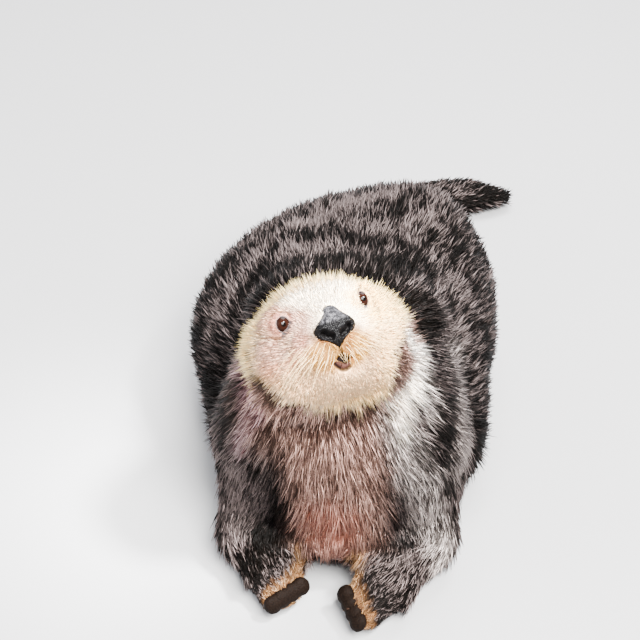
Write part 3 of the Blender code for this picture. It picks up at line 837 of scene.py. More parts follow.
# %% How likely a lock ends in silver
silver_luck = 0.52 * patchy + 0.11 + 0.40 * (broad - 0.5)
# fewer silver tips where shade is painted, more where silver fur and painted highlight lie
silver_luck += 0.55 * strokes(body, SILVER_AND_HIGHLIGHT_STROKES) - 0.33 * dark
silver_luck += 0.30 * marks["frost"] * ramp(z, 0.180, 0.215) + 0.2 * marks["snow"]
silver_luck -= 0.20 * ramp(-x, 0.100, 0.140) * ramp(y, -0.020, 0.060)
silver_luck -= 0.10 * ramp(x, 0.110, 0.150) * ramp(y, -0.020, 0.060)
in_front = np.maximum.reduce((marks["beige"], marks["frost"], marks["snow"]))
silver_luck += (0.46 + 0.20 * patchy + 0.12 * marks["frost"] - silver_luck) * 0.85 * in_front
# the painted shadow under the chin takes silver out of the apron
silver_luck -= 0.5 * in_front * dark
print("luck from", round(silver_luck.min(), 2), "to", round(silver_luck.max(), 2))

# %% [markdown]
# ### Strokes over the face
# The pale face ends in a clear edge against the neck. Inside it the cream is broken by folds of skin
# at the eyes, with painted shade in their creases, a mauve patch beside one eye, pink below it, and rust
# at the nose and the mouth, partly painted shade under the nose pad's edge.

# %% Strokes over the face
# where the pale face ends below, round the head: the angle about the face's middle and how far out
FACE_EDGE = [
    (-180, 0.0860), (-170, 0.0830), (-161, 0.0792), (-150, 0.0782), (-141, 0.0790), (-132, 0.0756),
    (-113, 0.0720), (-92, 0.0720), (-67, 0.0830), (-58, 0.0830), (-49, 0.0770), (-35, 0.0712), (-27, 0.0716),
    (-16, 0.0780), (-7, 0.0827), (0, 0.0900), (15, 0.1500), (165, 0.1500), (170, 0.0890), (180, 0.0860),
]
# on the face, as (across, up): the folds of skin round the eyes, whose creases are painted shade, then tints
# of the fur
FOLDS = [
    ([(-0.0465, 0.0310), (-0.0405, 0.0335), (-0.0340, 0.0305), (-0.0295, 0.0262)], 0.0026, 1.0),
    ([(-0.0534, 0.0118), (-0.0460, 0.0078), (-0.0372, 0.0074)], 0.0022, 1.0),
    ([(-0.0510, 0.0085), (-0.0440, 0.0048)], 0.0018, 0.8),
    (
        [(0.0416, 0.0320), (0.0480, 0.0262), (0.0508, 0.0178), (0.0497, 0.0080), (0.0470, 0.0020)],
        0.0024, 0.6,
    ),
    ([(0.0416, 0.0320), (0.0375, 0.0240), (0.0375, 0.0130)], 0.0020, 0.6),
]
MAUVE_STROKES = [
    (
        [(-0.0440, 0.0400), (-0.0590, 0.0270), (-0.0600, 0.0100), (-0.0500, -0.0020), (-0.0360, -0.0020)],
        0.017, 0.75,
    ),
    ([(-0.0300, 0.0360), (-0.0250, 0.0260)], 0.010, 0.5),
    ([(-0.0660, 0.0000), (-0.0700, -0.0130), (-0.0640, -0.0260)], 0.012, 0.35),
]
PINK_STROKES = [
    ([(-0.0240, 0.0200), (-0.0300, 0.0020), (-0.0350, -0.0110)], 0.0170, 0.65),
    ([(-0.0350, -0.0110), (-0.0440, -0.0190)], 0.0160, 0.5),
    ([(-0.0440, 0.0400), (-0.0580, 0.0250)], 0.0140, 0.4),
]
RUST_AND_SHADE_STROKES = [
    # the first lies under the nose pad's lower left edge, painted shade there; the others are orange-brown
    # fur
    ([(-0.0258, -0.0025), (-0.0216, -0.0078), (-0.0154, -0.0127), (-0.0089, -0.0167)], 0.0050, 1.0),
    ([(0.0240, -0.0080), (0.0140, -0.0160), (0.0060, -0.0230), (0.0085, -0.0280)], 0.0075, 0.9),
    ([(-0.0120, -0.0230), (-0.0140, -0.0350)], 0.0070, 0.4),
    ([(0.0069, -0.0346), (0.0110, -0.0380)], 0.0040, 0.8),
]
print("strokes over the face:", sum(len(plan) for plan in (MAUVE_STROKES, PINK_STROKES, RUST_AND_SHADE_STROKES)))

# %% [markdown]
# ### Painting the face
# Cream covers the face up to its edge. The low face and one cheek are deeper, like wheat, the other
# cheek and the back of the head yellow, like butter, and the muzzle is straw. A dark tint has to
# cover the pale one wholly, because even a tenth of cream under it still looks cream.

# %% Paint the face
angle = np.degrees(np.arctan2(tip_places[:, 2], tip_places[:, 0]))
past_edge = np.hypot(tip_places[:, 0], tip_places[:, 2]) - np.interp(angle, *zip(*FACE_EDGE))
off_face = ramp(past_edge + 0.008 * (ragged - 0.5), -0.002, 0.003)
marks["beige"] = np.maximum(marks["beige"], head_area * off_face)
head_area *= 1 - off_face
head_area *= 1 - 0.9 * owned_by("ear", rounds=2)
marks["cream"] = head_area
across, _, up = tip_places.T
low_face = ramp(up + 0.012 * (ragged - 0.5), 0.004, -0.022)
marks["wheat"] = head_area * np.maximum(0.85 * low_face, 0.45 * ramp(-across, 0.026, 0.050))
marks["butter"] = head_area * np.maximum.reduce((
    ramp(across, 0.026, 0.050) * (1 - 0.6 * low_face),
    0.9 * to_the_back,
    0.9 * spot(tip_places, EYE_PLACE, 0.026),
))
streaky = hair_noise(body, 0.0030, 4)
mauve = face_strokes(tip_places, MAUVE_STROKES) * (0.30 + 0.70 * ramp(streaky, 0.35, 0.65))
marks["mauve"] = head_area * np.maximum(mauve, 0.10 * low_face)
marks["pink"] = head_area * np.maximum.reduce((
    face_strokes(tip_places, PINK_STROKES),
    0.85 * spot(tip_places, mirrored(EYE_PLACE), 0.030),
    0.55 * spot(tip_places, (-0.062, 0.045, -0.008), 0.034),
))
muzzle_spot = spot(tip_places, (0, 0.080, -0.025), (0.046, 0.050, 0.027))
marks["straw"] = head_area * np.minimum(2.2 * muzzle_spot, 1) * (0.84 + 0.16 * ragged)
# dark fur and painted shade in the folds under the cheeks, and also the fur at the pads' very edge
marks["bistre"] = np.maximum(strokes(body, BISTRE_AND_SHADE_STROKES), 1 - ramp(from_pads, 0.0030, 0.0045))
marks["rust"] = face_strokes(tip_places, RUST_AND_SHADE_STROKES) * (0.35 + 0.65 * ragged)
print("face markings:", {name: round(float(marks[name].mean()), 3) for name in ("cream", "straw")})

# %% [markdown]
# ### Bare skin
# The lids, the mouth and the lip are bare, and the folds nearly so. They are painted by where the
# root is, not the tip, because no lock lies over them.

# %% Lids, lip and mouth
ROUND_THE_EYE = 0.016  # how far from the eyeball's middle the lids are painted
BARE_RIM = (3, 7)  # degrees outside the opening where the bare rim begins to end and has ended
DARK_RING, RING_HALF = 17, 7  # degrees outside the opening of the dark fold, and half its width
bare = np.zeros(surface.count)
folds = np.zeros(surface.count)
for side in OPENINGS:
    _, far, off, share, turn = eye_view(side)
    margin = off - off / share
    near = far < ROUND_THE_EYE
    bare = np.maximum(bare, (1 - ramp(margin, *BARE_RIM)) * near)
    # a dark ring in the lid's groove: painted shade in the crease
    ring = np.exp(-(((margin - DARK_RING) / RING_HALF) ** 2)) * ramp(np.abs(np.sin(turn)), 0.15, 0.6)
    folds = np.maximum(folds, ring * near)
eye_folds = face_strokes(root_places, FOLDS)
# the folds' bare skin, darkened by painted shade in their creases
marks["fold"] = np.maximum(0.35 * folds, np.minimum(1.5 * eye_folds, 1))
marks["lid"] = bare
marks["lip"] = face_stroke(root_places, LIP, 0.0036, 0.55)
# path, reach and solid share of the thin dark lines under the nose and round the lip: creases in painted
# shade
MOUTH_LINES = [(FURROW, 0.0026, 0.3), (LIP_LINE, 0.0026, 0.35), (LIP_CORNER, 0.0018, 0.4)]
lines = np.max([0.9 * face_stroke(root_places, *line) for line in MOUTH_LINES], axis=0)
# the open mouth and those creases are painted near black: painted shade inside the mouth and in the creases
marks["mouth"] = np.maximum(face_stroke(root_places, MOUTH, 0.0040, 0.50), lines)
bare = np.maximum.reduce((
    bare,
    face_stroke(root_places, MOUTH, 0.0036, 0.6),
    0.5 * face_stroke(root_places, LIP, 0.0034),
    0.9 * lines,
    0.6 * eye_folds,
))
print("bare skin at", int((bare > 0.5).sum()), "points")

# %% [markdown]
# ### Written on the skin
# Everything above is stored on the skin's mesh under a name. The coat's tree and the materials read
# it by that name. Fur grows where the skin isn't bare, not under the nose and the pads, and not on
# the underside, which the animal lies on.

# %% Store the markings and the combing
LYING_HEIGHT = 0.012  # below this, the underside has no fur


def keep(name, values, kind="FLOAT"):
    """Stores values on the skin, one for each point."""
    field = skin.data.attributes.new(name, kind, "POINT")
    key = "vector" if kind == "FLOAT_VECTOR" else "value"
    field.data.foreach_set(key, np.asarray(values, np.float32).ravel())


for name, values in marks.items():
    keep(name, values)
keep("flow", flow, "FLOAT_VECTOR")
hair_share = (1 - ramp(bare, 0.25, 0.6)) * (1 - under_pad) * ramp(from_pads, 0.0015, 0.0040)
hair_share *= 1 - (surface.points[:, 2] < LYING_HEIGHT) * (normal[:, 2] < -0.4)
keep("hair_length", hair_length)
keep("hair_lift", np.radians(hair_lift))
keep("hair_width", hair_width)
keep("hair_share", hair_share)
keep("silver_luck", np.clip(silver_luck, 0, 1.2))
# the skin itself stands for a root (grow 0) of middling luck
keep("grow", np.zeros(surface.count))
keep("chance", np.full(surface.count, 0.5))
keep("side", np.zeros(surface.count))
print("stored:", len(skin.data.attributes), "fields on the skin")

# %% [markdown]
# ## Unwrapping the skin
# The export bakes colours into pictures, and for that each face needs a place on a flat map. Smart
# projection cuts the skin into patches by the way they face. The fur's map is laid on this same
# unwrap, each lock a tiny patch at its own root.

# %% Unwrap
SKIN_MAP = "SkinMap"


def unwrap(obj, name):
    obj.data.uv_layers.new(name=name)
    bpy.context.view_layer.objects.active = obj
    obj.select_set(True)
    bpy.ops.object.mode_set(mode="EDIT")
    bpy.ops.mesh.select_all(action="SELECT")
    bpy.ops.uv.smart_project(angle_limit=math.radians(66), island_margin=0.004)
    bpy.ops.object.mode_set(mode="OBJECT")
    obj.select_set(False)


unwrap(skin, SKIN_MAP)
print("unwrapped", len(skin.data.polygons), "faces")

# %% [markdown]
# ## The colours of the coat
# Each hair of an otter is darker at its root, and the guard hairs end in silver. So every marking
# has two colours, one for the root and one for the tip. A third number says how alike the locks of a
# marking are: at 1 every tip has its full colour, and at 0 only the lucky ones do.

# %% Colours of each marking, root and tip
# the dark fur under the markings: its root, its brown tip and its silver tip
FUR_ROOT = (0.0010, 0.0007, 0.0005)
FUR_BROWN = (0.0026, 0.0018, 0.0013)
FUR_SILVER = (0.195, 0.150, 0.142)
# for each marking: colour at the root, colour at the tip, and how alike its locks are
DYES = {
    "beige": ((0.016, 0.0068, 0.0045), (0.84, 0.50, 0.40), 0.16),
    "blush": ((0.11, 0.030, 0.018), (0.76, 0.32, 0.24), 0.40),
    "rose": ((0.15, 0.064, 0.070), (0.80, 0.53, 0.55), 0.40),
    # umber: dark fur, and painted shade where the dark strokes lie
    "umber": ((0.0005, 0.0004, 0.0003), (0.0030, 0.0020, 0.0014), 0.7),
    "frost": ((0.0040, 0.0028, 0.0022), (0.96, 0.83, 0.77), 0.15),
    "snow": ((0.52, 0.44, 0.35), (0.99, 0.95, 0.88), 0.85),
    "tan": ((0.07, 0.028, 0.010), (0.72, 0.42, 0.19), 0.35),
    "cream": ((0.84, 0.67, 0.46), (0.99, 0.94, 0.80), 0.9),
    "wheat": ((0.46, 0.22, 0.080), (0.88, 0.63, 0.32), 0.60),
    "butter": ((0.66, 0.38, 0.12), (0.99, 0.84, 0.40), 0.60),
    "mauve": ((0.055, 0.022, 0.015), (0.32, 0.165, 0.125), 0.18),
    "pink": ((0.30, 0.085, 0.060), (0.60, 0.24, 0.19), 0.45),
    "straw": ((0.17, 0.070, 0.010), (0.60, 0.335, 0.060), 0.35),
    # rust: orange-brown fur, and painted shade under the nose pad's edge
    "rust": ((0.070, 0.016, 0.004), (0.36, 0.125, 0.035), 0.35),
    # fold: bare skin of the lid folds, with painted shade in their creases
    "fold": ((0.050, 0.022, 0.012), (0.15, 0.075, 0.044), 0.8),
    # bistre: dark fur, and painted shade in the folds beside the ears
    "bistre": ((0.012, 0.006, 0.004), (0.060, 0.030, 0.018), 0.6),
    "lid": ((0.026, 0.019, 0.018), (0.11, 0.090, 0.092), 1.0),
    "lip": ((0.018, 0.0065, 0.0045), (0.050, 0.021, 0.015), 0.8),
    # mouth: painted shade of the open mouth and of the creases round it
    "mouth": ((0.002, 0.0007, 0.0005), (0.004, 0.0015, 0.001), 1.0),
}
print(len(DYES), "dyes for", len(marks), "markings")

# %% [markdown]
# ### Helpers for nodes
# A material and a Geometry Nodes tree are both made of nodes with sockets. Four short helpers keep
# the trees below readable: one adds a node, one does a sum, one mixes two colours and one reads a
# number that is stored on the mesh.

# %% Add, reckon, mix and read
def add(tree, kind, inputs=None, **settings):
    """A new node. An input may be a plain value, or another node's output to link to it."""
    made = tree.nodes.new(kind)
    for name, value in settings.items():
        setattr(made, name, value)
    for name, value in (inputs or {}).items():
        socket = made.inputs[name]
        if isinstance(value, bpy.types.NodeSocket):
            tree.links.new(value, socket)
        else:
            socket.default_value = value
    return made


def maths(tree, what, first, second=0.0):
    """One sum on two numbers or outputs."""
    return add(tree, "ShaderNodeMath", {0: first, 1: second}, operation=what).outputs[0]


def mixed(tree, share, first, second):
    """Two colours mixed by share."""
    node = tree.nodes.new("ShaderNodeMix")
    node.data_type = "RGBA"
    for number, value in ((0, share), (6, first), (7, second)):
        if isinstance(value, bpy.types.NodeSocket):
            tree.links.new(value, node.inputs[number])
        else:
            node.inputs[number].default_value = (*value, 1) if number else value
    return node.outputs[2]


def painted(tree, name):
    """A number stored on the mesh."""
    return add(tree, "ShaderNodeAttribute", attribute_name=name).outputs["Fac"]


print("helpers for nodes are ready")

# %% [markdown]
# ### One group for the markings
# The skin's material and the fur's both need the same colours, so a node group works them out once.
# It starts from the dark fur and lays one marking after the other over it, each by the share that we
# painted, so a later one covers an earlier one. It hands on the root's colour and the tip's.

# %% The markings group
def markings_group():
    """The colours of a lock's root and tip, by the painted markings and the lock's silvering."""
    group = bpy.data.node_groups.new("Coat markings", "ShaderNodeTree")
    group.interface.new_socket(name="Silvering", in_out="INPUT", socket_type="NodeSocketFloat")
    group.interface.new_socket(name="Root", in_out="OUTPUT", socket_type="NodeSocketColor")
    group.interface.new_socket(name="Tip", in_out="OUTPUT", socket_type="NodeSocketColor")
    given = group.nodes.new("NodeGroupInput")
    root = mixed(group, 0.0, FUR_ROOT, FUR_ROOT)
    silvering = given.outputs["Silvering"]
    tip = mixed(group, silvering, FUR_BROWN, FUR_SILVER)
    for name, (root_dye, tip_dye, alike) in DYES.items():
        share = painted(group, name)
        fullness = maths(group, "MAXIMUM", silvering, alike)
        root = mixed(group, share, root, root_dye)
        tip = mixed(group, share, tip, mixed(group, fullness, root_dye, tip_dye))
    out = group.nodes.new("NodeGroupOutput")
    group.links.new(root, out.inputs["Root"])
    group.links.new(tip, out.inputs["Tip"])
    return group


MARKINGS = markings_group()
print("markings group with", len(MARKINGS.nodes), "nodes")

# %% [markdown]
# ## Fur and felt
# The fur's material runs from the root's colour to the tip's along each lock, with streaks, so that
# one lock reads as many hairs. Each lock's own luck and its tuft's are added to the painted luck, and
# where the sum is high the tip is silver. The skin is felt: underfur seen between the locks, nearly
# all root colour, roughened by a fine bump.

# %% Materials for fur and skin
LUCK_OF_LOCK = 0.80
LUCK_OF_TUFT = 0.42
SILVER_BEGINS, SILVER_FULL = 0.93, 1.38  # the sums of luck between which a tip turns to silver
STREAK_SHIFT = 1.3  # how far along a lock the streaks move its change of colour
STREAKS_APART = 60.0  # how far apart in the noise two locks may lie, so that no two look the same
TIP_BEGINS, TIP_FULL = 0.30, 1.00  # where along a lock its root's colour begins to give way, and ends
FELT_TIP = 0.25  # the most of the tip's colour that the felt takes


def blank_material(name):
    material = bpy.data.materials.new(name)
    material.use_nodes = True
    tree = material.node_tree
    shader = next(node for node in tree.nodes if node.type == "BSDF_PRINCIPLED")
    return material, tree, shader


def fur_material():
    """Fur in locks: dark at the root, lighter at the tip, streaked along its length."""
    material, tree, shader = blank_material("fur")
    grow = painted(tree, "grow")
    chance = painted(tree, "chance")
    side = painted(tree, "side")
    luck = maths(tree, "ADD", painted(tree, "silver_luck"), maths(tree, "MULTIPLY", chance, LUCK_OF_LOCK))
    luck = maths(tree, "ADD", luck, maths(tree, "MULTIPLY", painted(tree, "tuft"), LUCK_OF_TUFT))
    silvering = {"Value": luck, "From Min": SILVER_BEGINS, "From Max": SILVER_FULL}
    silvering = add(tree, "ShaderNodeMapRange", silvering)
    marks = add(tree, "ShaderNodeGroup", {}, node_tree=MARKINGS)
    tree.links.new(silvering.outputs[0], marks.inputs["Silvering"])
    apart = maths(tree, "MULTIPLY", chance, STREAKS_APART)
    place = add(tree, "ShaderNodeCombineXYZ", {0: side, 1: grow, 2: apart})
    stretch = add(tree, "ShaderNodeMapping", {"Vector": place.outputs[0], "Scale": (2.4, 0.8, 1.0)})
    streaks = add(tree, "ShaderNodeTexNoise", {"Vector": stretch.outputs[0], "Scale": 1.6, "Detail": 2.0})
    shift = maths(tree, "MULTIPLY_ADD", streaks.outputs["Fac"], STREAK_SHIFT)
    shift.node.inputs[2].default_value = -STREAK_SHIFT / 2
    share = {"Value": maths(tree, "ADD", grow, shift), "From Min": TIP_BEGINS, "From Max": TIP_FULL}
    share = add(tree, "ShaderNodeMapRange", share, interpolation_type="SMOOTHSTEP").outputs[0]
    colour = mixed(tree, share, marks.outputs["Root"], marks.outputs["Tip"])
    shade = add(tree, "ShaderNodeMapRange", {"Value": chance, "To Min": 0.72, "To Max": 1.12})
    tone = add(tree, "ShaderNodeVectorMath", {0: colour, "Scale": shade.outputs[0]}, operation="SCALE")
    tree.links.new(tone.outputs[0], shader.inputs["Base Color"])
    shader.inputs["Roughness"].default_value = 0.5
    shader.inputs["Specular IOR Level"].default_value = 0.04
    return material


def skin_material():
    """The felt of underfur that shows between the locks, with the same markings."""
    material, tree, shader = blank_material("skin_felt")
    marks = add(tree, "ShaderNodeGroup", {}, node_tree=MARKINGS)
    marks.inputs["Silvering"].default_value = 0.2
    place = add(tree, "ShaderNodeTexCoord")
    hairs = {"Vector": place.outputs["Object"], "Scale": 900.0, "Detail": 3.0}
    hairs = add(tree, "ShaderNodeTexNoise", hairs).outputs["Fac"]
    share = maths(tree, "MULTIPLY", hairs, FELT_TIP)
    colour = mixed(tree, share, marks.outputs["Root"], marks.outputs["Tip"])
    tree.links.new(colour, shader.inputs["Base Color"])
    bump = add(tree, "ShaderNodeBump", {"Height": hairs, "Strength": 0.5, "Distance": 0.0006})
    tree.links.new(bump.outputs[0], shader.inputs["Normal"])
    shader.inputs["Roughness"].default_value = 0.75
    shader.inputs["Specular IOR Level"].default_value = 0.05
    return material


FUR = fur_material()
FELT = skin_material()
skin.data.materials.clear()
skin.data.materials.append(FELT)
for face in skin.data.polygons:
    face.use_smooth = True
print("materials:", FUR.name, FELT.name)

# %% [markdown]
# ## A lock of fur
# Wet or brushed fur gathers in locks: many hairs that lie together and run out in one tip. One lock
# is a long flat spike with a ridge along its back, one unit long and one unit wide, rooted at the
# origin and pointing along Y. We make a few that bend and sway differently. Each carries how far
# along it a point is (grow) and on which side (side), for the streaks and for its patch of the map.

# %% Shapes of the lock
# for each shape: how far its tip droops, and how far it sways to one side
LOCKS = {
    "straight": (0.02, 0.0),
    "drooping": (0.10, 0.25),
    "swept_left": (0.06, -0.9),
    "swept_right": (0.06, 0.9),
    "curled": (0.14, -0.45),
}
# sections of a lock: place along it, width and height of its ridge
LOCK_SECTIONS = ((0.0, 0.55, 0.030), (0.40, 1.0, 0.050))
TIP_HEIGHT = 0.006


def lock_shape(name, droop, sway):
    work = bmesh.new()
    grow = work.verts.layers.float.new("grow")
    side = work.verts.layers.float.new("side")

    def point(across, forward, height, which):
        bent = Vector((across + sway * forward**2, forward, height - droop * forward**2))
        vert = work.verts.new(bent)
        vert[grow] = forward
        vert[side] = which
        return vert

    rings = []
    for forward, width, ridge in LOCK_SECTIONS:
        left = point(-width / 2, forward, 0, -1)
        right = point(width / 2, forward, 0, 1)
        top = point(0, forward, ridge, 0)
        rings.append((left, right, top))
    tip = point(0, 1, TIP_HEIGHT, 0)
    work.faces.new(rings[0])
    for n in range(3):
        m = (n + 1) % 3
        work.faces.new((rings[0][n], rings[0][m], rings[1][m], rings[1][n]))
        work.faces.new((rings[1][n], rings[1][m], tip))
    bmesh.ops.triangulate(work, faces=work.faces[:])
    bmesh.ops.recalc_face_normals(work, faces=work.faces)
    return bpy.data.objects.new(name, finished_mesh(work, name, smooth=True))


locks = bpy.data.collections.new("locks")
for name, (droop, sway) in LOCKS.items():
    locks.objects.link(lock_shape(name, droop, sway))
LOCK_TRIANGLES = len(locks.objects[0].data.polygons)
print(len(LOCKS), "lock shapes of", LOCK_TRIANGLES, "triangles")

# %% [markdown]
# ## Planting the locks
# This is where Geometry Nodes earn their keep. The tree scatters roots evenly over a bed of skin,
# reads the combing there, leans each lock up from the skin, pulls neighbouring tips together into
# clumps, and sets a lock at each root with its own length and width. Each root also keeps its place
# on the skin's map, and the lock's own little map is added to it, so that every lock has a patch to
# bake its colours on. The tree ends as real mesh, because the export drops instances.

# %% Helpers for the tree
def new_tree(name, inputs):
    """A Geometry Nodes tree with named inputs: (name, kind, default)."""
    tree = bpy.data.node_groups.new(name, "GeometryNodeTree")
    tree.interface.new_socket(name="Geometry", in_out="INPUT", socket_type="NodeSocketGeometry")
    for label, kind, default in inputs:
        socket = tree.interface.new_socket(name=label, in_out="INPUT", socket_type="NodeSocket" + kind)
        if default is not None:
            socket.default_value = default
    tree.interface.new_socket(name="Geometry", in_out="OUTPUT", socket_type="NodeSocketGeometry")
    return tree, tree.nodes.new("NodeGroupInput").outputs


def stored(tree, name, kind="FLOAT"):
    """An attribute read inside a Geometry Nodes tree."""
    node = add(tree, "GeometryNodeInputNamedAttribute", {"Name": name}, data_type=kind)
    return node.outputs["Attribute"]


def vectors(tree, what, first, second=(0, 0, 0)):
    """One sum on two vectors, or on a vector and a number to scale it by."""
    key = "Scale" if what == "SCALE" else 1
    node = add(tree, "ShaderNodeVectorMath", {0: first, key: second}, operation=what)
    return node.outputs["Value" if what in ("DOT_PRODUCT", "LENGTH") else "Vector"]


def chance_between(tree, low, high, seed):
    """A random number for each root, always the same for the same seed."""
    inputs = {2: low, 3: high, "Seed": seed}
    return add(tree, "FunctionNodeRandomValue", inputs, data_type="FLOAT").outputs[1]


def remember(tree, geometry, name, value, kind="FLOAT", domain="POINT"):
    """The geometry with a value stored on it under a name."""
    inputs = {"Geometry": geometry, "Name": name, "Value": value}
    node = add(tree, "GeometryNodeStoreNamedAttribute", inputs, data_type=kind, domain=domain)
    return node.outputs["Geometry"]


print("helpers for the tree are ready")

# %% [markdown]
# ### Roots and clumps
# The roots are scattered evenly, no two nearer than the spacing, and fewer where hair_share is low.
# A clump is a cell of a Voronoi pattern: it gives each of its roots the cell's middle to lean
# towards, and a number that the whole clump shares.

# %% Roots and clumps
MOST_ROOTS = 4e6  # roots for each square metre before they are thinned to the spacing


def scattered_roots(tree, given):
    """Points on the bed that remember which way is up, their place on the map and their own luck."""
    scatter = add(
        tree,
        "GeometryNodeDistributePointsOnFaces",
        {
            "Mesh": given["Geometry"],
            "Distance Min": given["Spacing"],
            "Density Max": MOST_ROOTS,
            "Density Factor": stored(tree, "hair_share"),
            "Seed": given["Seed"],
        },
        distribute_method="POISSON",
    )
    roots = scatter.outputs["Points"]
    roots = remember(tree, roots, "upright", scatter.outputs["Normal"], "FLOAT_VECTOR")
    roots = remember(tree, roots, "root_map", stored(tree, SKIN_MAP, "FLOAT_VECTOR"), "FLOAT_VECTOR")
    return remember(tree, roots, "chance", chance_between(tree, 0.0, 1.0, 11))


def clumped(tree, given, roots, here):
    """The roots with their clump's number stored on them, and where the clump's middle is."""
    cell = maths(tree, "DIVIDE", 1.0, given["Clump size"])
    cells = add(tree, "ShaderNodeTexVoronoi", {"Vector": here, "Scale": cell, "Randomness": 1.0})
    tuft = add(tree, "ShaderNodeSeparateXYZ", {0: cells.outputs["Color"]}).outputs[0]
    return remember(tree, roots, "tuft", tuft), cells.outputs["Position"]


print("roots are thinned from", int(MOST_ROOTS), "for each square metre")

# %% [markdown]
# ### How each lock lies
# A lock follows the combing. A slow wave turns the combing a little, each lock strays by some
# degrees, and its tip is pulled towards the clump's middle. What is left is laid flat on the skin
# again and then lifted by the lock's own angle. Lengths and widths vary from lock to lock.

# %% Turn and size of each lock
WAVE_SCALE = 38.0  # waves in the combing for each metre
STRAY = 0.22  # how far a lock may turn aside from the combing


def lock_turn(tree, given, here, clump_middle):
    """The rotation that lays a lock along the skin and lifts it."""
    normal = stored(tree, "upright", "FLOAT_VECTOR")
    lie = stored(tree, "flow", "FLOAT_VECTOR")
    wave = add(tree, "ShaderNodeTexNoise", {"Vector": here, "Scale": WAVE_SCALE, "Detail": 1.0})
    wave = vectors(tree, "SUBTRACT", wave.outputs["Color"], (0.5, 0.5, 0.5))
    wave = vectors(tree, "SCALE", wave, maths(tree, "MULTIPLY", given["Waviness"], 4.0))
    sideways = vectors(tree, "CROSS_PRODUCT", normal, lie)
    stray = vectors(tree, "SCALE", sideways, chance_between(tree, -STRAY, STRAY, 12))
    pull = vectors(tree, "SUBTRACT", clump_middle, here)
    pull_by = maths(tree, "DIVIDE", given["Clumping"], stored(tree, "hair_length"))
    pull = vectors(tree, "SCALE", pull, pull_by)
    for push in (wave, stray, pull):
        lie = vectors(tree, "ADD", lie, push)
    inward = vectors(tree, "DOT_PRODUCT", lie, normal)
    lie = vectors(tree, "SUBTRACT", lie, vectors(tree, "SCALE", normal, inward))
    lie = vectors(tree, "NORMALIZE", lie)
    lift = maths(tree, "MULTIPLY", stored(tree, "hair_lift"), chance_between(tree, 0.6, 1.4, 13))
    flat = vectors(tree, "SCALE", lie, maths(tree, "COSINE", lift))
    way = vectors(tree, "ADD", flat, vectors(tree, "SCALE", normal, maths(tree, "SINE", lift)))
    axes = {"Primary Axis": way, "Secondary Axis": normal}
    turn = add(tree, "FunctionNodeAxesToRotation", axes, primary_axis="Y", secondary_axis="Z")
    return turn.outputs[0]


def lock_size(tree):
    """Width and length of a lock, some clumps longer than others."""
    by_tuft = maths(tree, "ADD", maths(tree, "MULTIPLY", stored(tree, "tuft"), 0.3), 0.85)
    long = maths(tree, "MULTIPLY", stored(tree, "hair_length"), chance_between(tree, 0.65, 1.15, 14))
    long = maths(tree, "MULTIPLY", long, by_tuft)
    wide = maths(tree, "MULTIPLY", stored(tree, "hair_width"), chance_between(tree, 0.7, 1.35, 15))
    return add(tree, "ShaderNodeCombineXYZ", {0: wide, 1: long, 2: long}).outputs[0]


print("a lock strays by up to", round(math.degrees(math.atan(STRAY))), "degrees")

# %% [markdown]
# ### The whole tree
# The tree's inputs are the sizes that differ from part to part. Instance on Points sets one of the
# lock shapes at each root, Realize Instances makes real mesh of them, and each corner then gets its
# place on the map: across by the side of the lock, along by how far it has grown.

# %% The coat tree
PATCH = 0.003  # width of a lock's patch on the map


def coat_tree():
    tree, given = new_tree(
        "Coat",
        [
            ("Spacing", "Float", 0.003),
            ("Locks", "Collection", None),
            ("Clump size", "Float", 0.012),
            ("Clumping", "Float", 0.8),
            ("Waviness", "Float", 0.25),
            ("Seed", "Int", 1),
            ("Material", "Material", None),
        ],
    )
    here = tree.nodes.new("GeometryNodeInputPosition").outputs[0]
    roots, clump_middle = clumped(tree, given, scattered_roots(tree, given), here)
    shapes = {"Collection": given["Locks"], "Separate Children": True, "Reset Children": True}
    shapes = add(tree, "GeometryNodeCollectionInfo", shapes)
    which = add(tree, "FunctionNodeRandomValue", {4: 0, 5: len(LOCKS) - 1, "Seed": 16}, data_type="INT")
    planted = add(
        tree,
        "GeometryNodeInstanceOnPoints",
        {
            "Points": roots,
            "Instance": shapes.outputs[0],
            "Pick Instance": True,
            "Instance Index": which.outputs[2],
            "Rotation": lock_turn(tree, given, here, clump_middle),
            "Scale": lock_size(tree),
        },
    )
    real = add(tree, "GeometryNodeRealizeInstances", {"Geometry": planted.outputs[0]})
    patch_x = maths(tree, "MULTIPLY", stored(tree, "side"), PATCH / 2)
    patch_y = maths(tree, "MULTIPLY", maths(tree, "SUBTRACT", stored(tree, "grow"), 0.5), PATCH)
    patch = add(tree, "ShaderNodeCombineXYZ", {0: patch_x, 1: patch_y}).outputs[0]
    on_map = vectors(tree, "ADD", stored(tree, "root_map", "FLOAT_VECTOR"), patch)
    mapped = remember(tree, real.outputs[0], "OFBake", on_map, "FLOAT2", "CORNER")
    dressed = add(tree, "GeometryNodeSetMaterial", {"Geometry": mapped, "Material": given["Material"]})
    out = tree.nodes.new("NodeGroupOutput")
    tree.links.new(dressed.outputs[0], out.inputs[0])
    return tree


COAT = coat_tree()
print("coat tree with", len(COAT.nodes), "nodes")

# %% [markdown]
# ## Planting part by part
# One coat over the whole animal would be too heavy a mesh, and each part needs its own spacing. So
# each is grown on a bed of its own: a copy of the skin that keeps only that part's faces. The grown
# fur is turned into a plain mesh and takes the bed's place.

# %% Plant each part of the coat
def give(modifier, values):
    """Sets a modifier's inputs by the sockets' identifiers."""
    for item in modifier.node_group.interface.items_tree:
        if item.item_type == "SOCKET" and item.in_out == "INPUT" and item.name in values:
            modifier[item.identifier] = values[item.name]


def bed_of(name, chosen):
    """A copy of the skin that holds only the faces whose first corner is in chosen."""
    work = bmesh.new()
    work.from_mesh(skin.data)
    work.verts.ensure_lookup_table()
    others = [f for f in work.faces if not chosen[f.verts[0].index]]
    bmesh.ops.delete(work, geom=others, context="FACES")
    return new_object(name, finished_mesh(work, name))


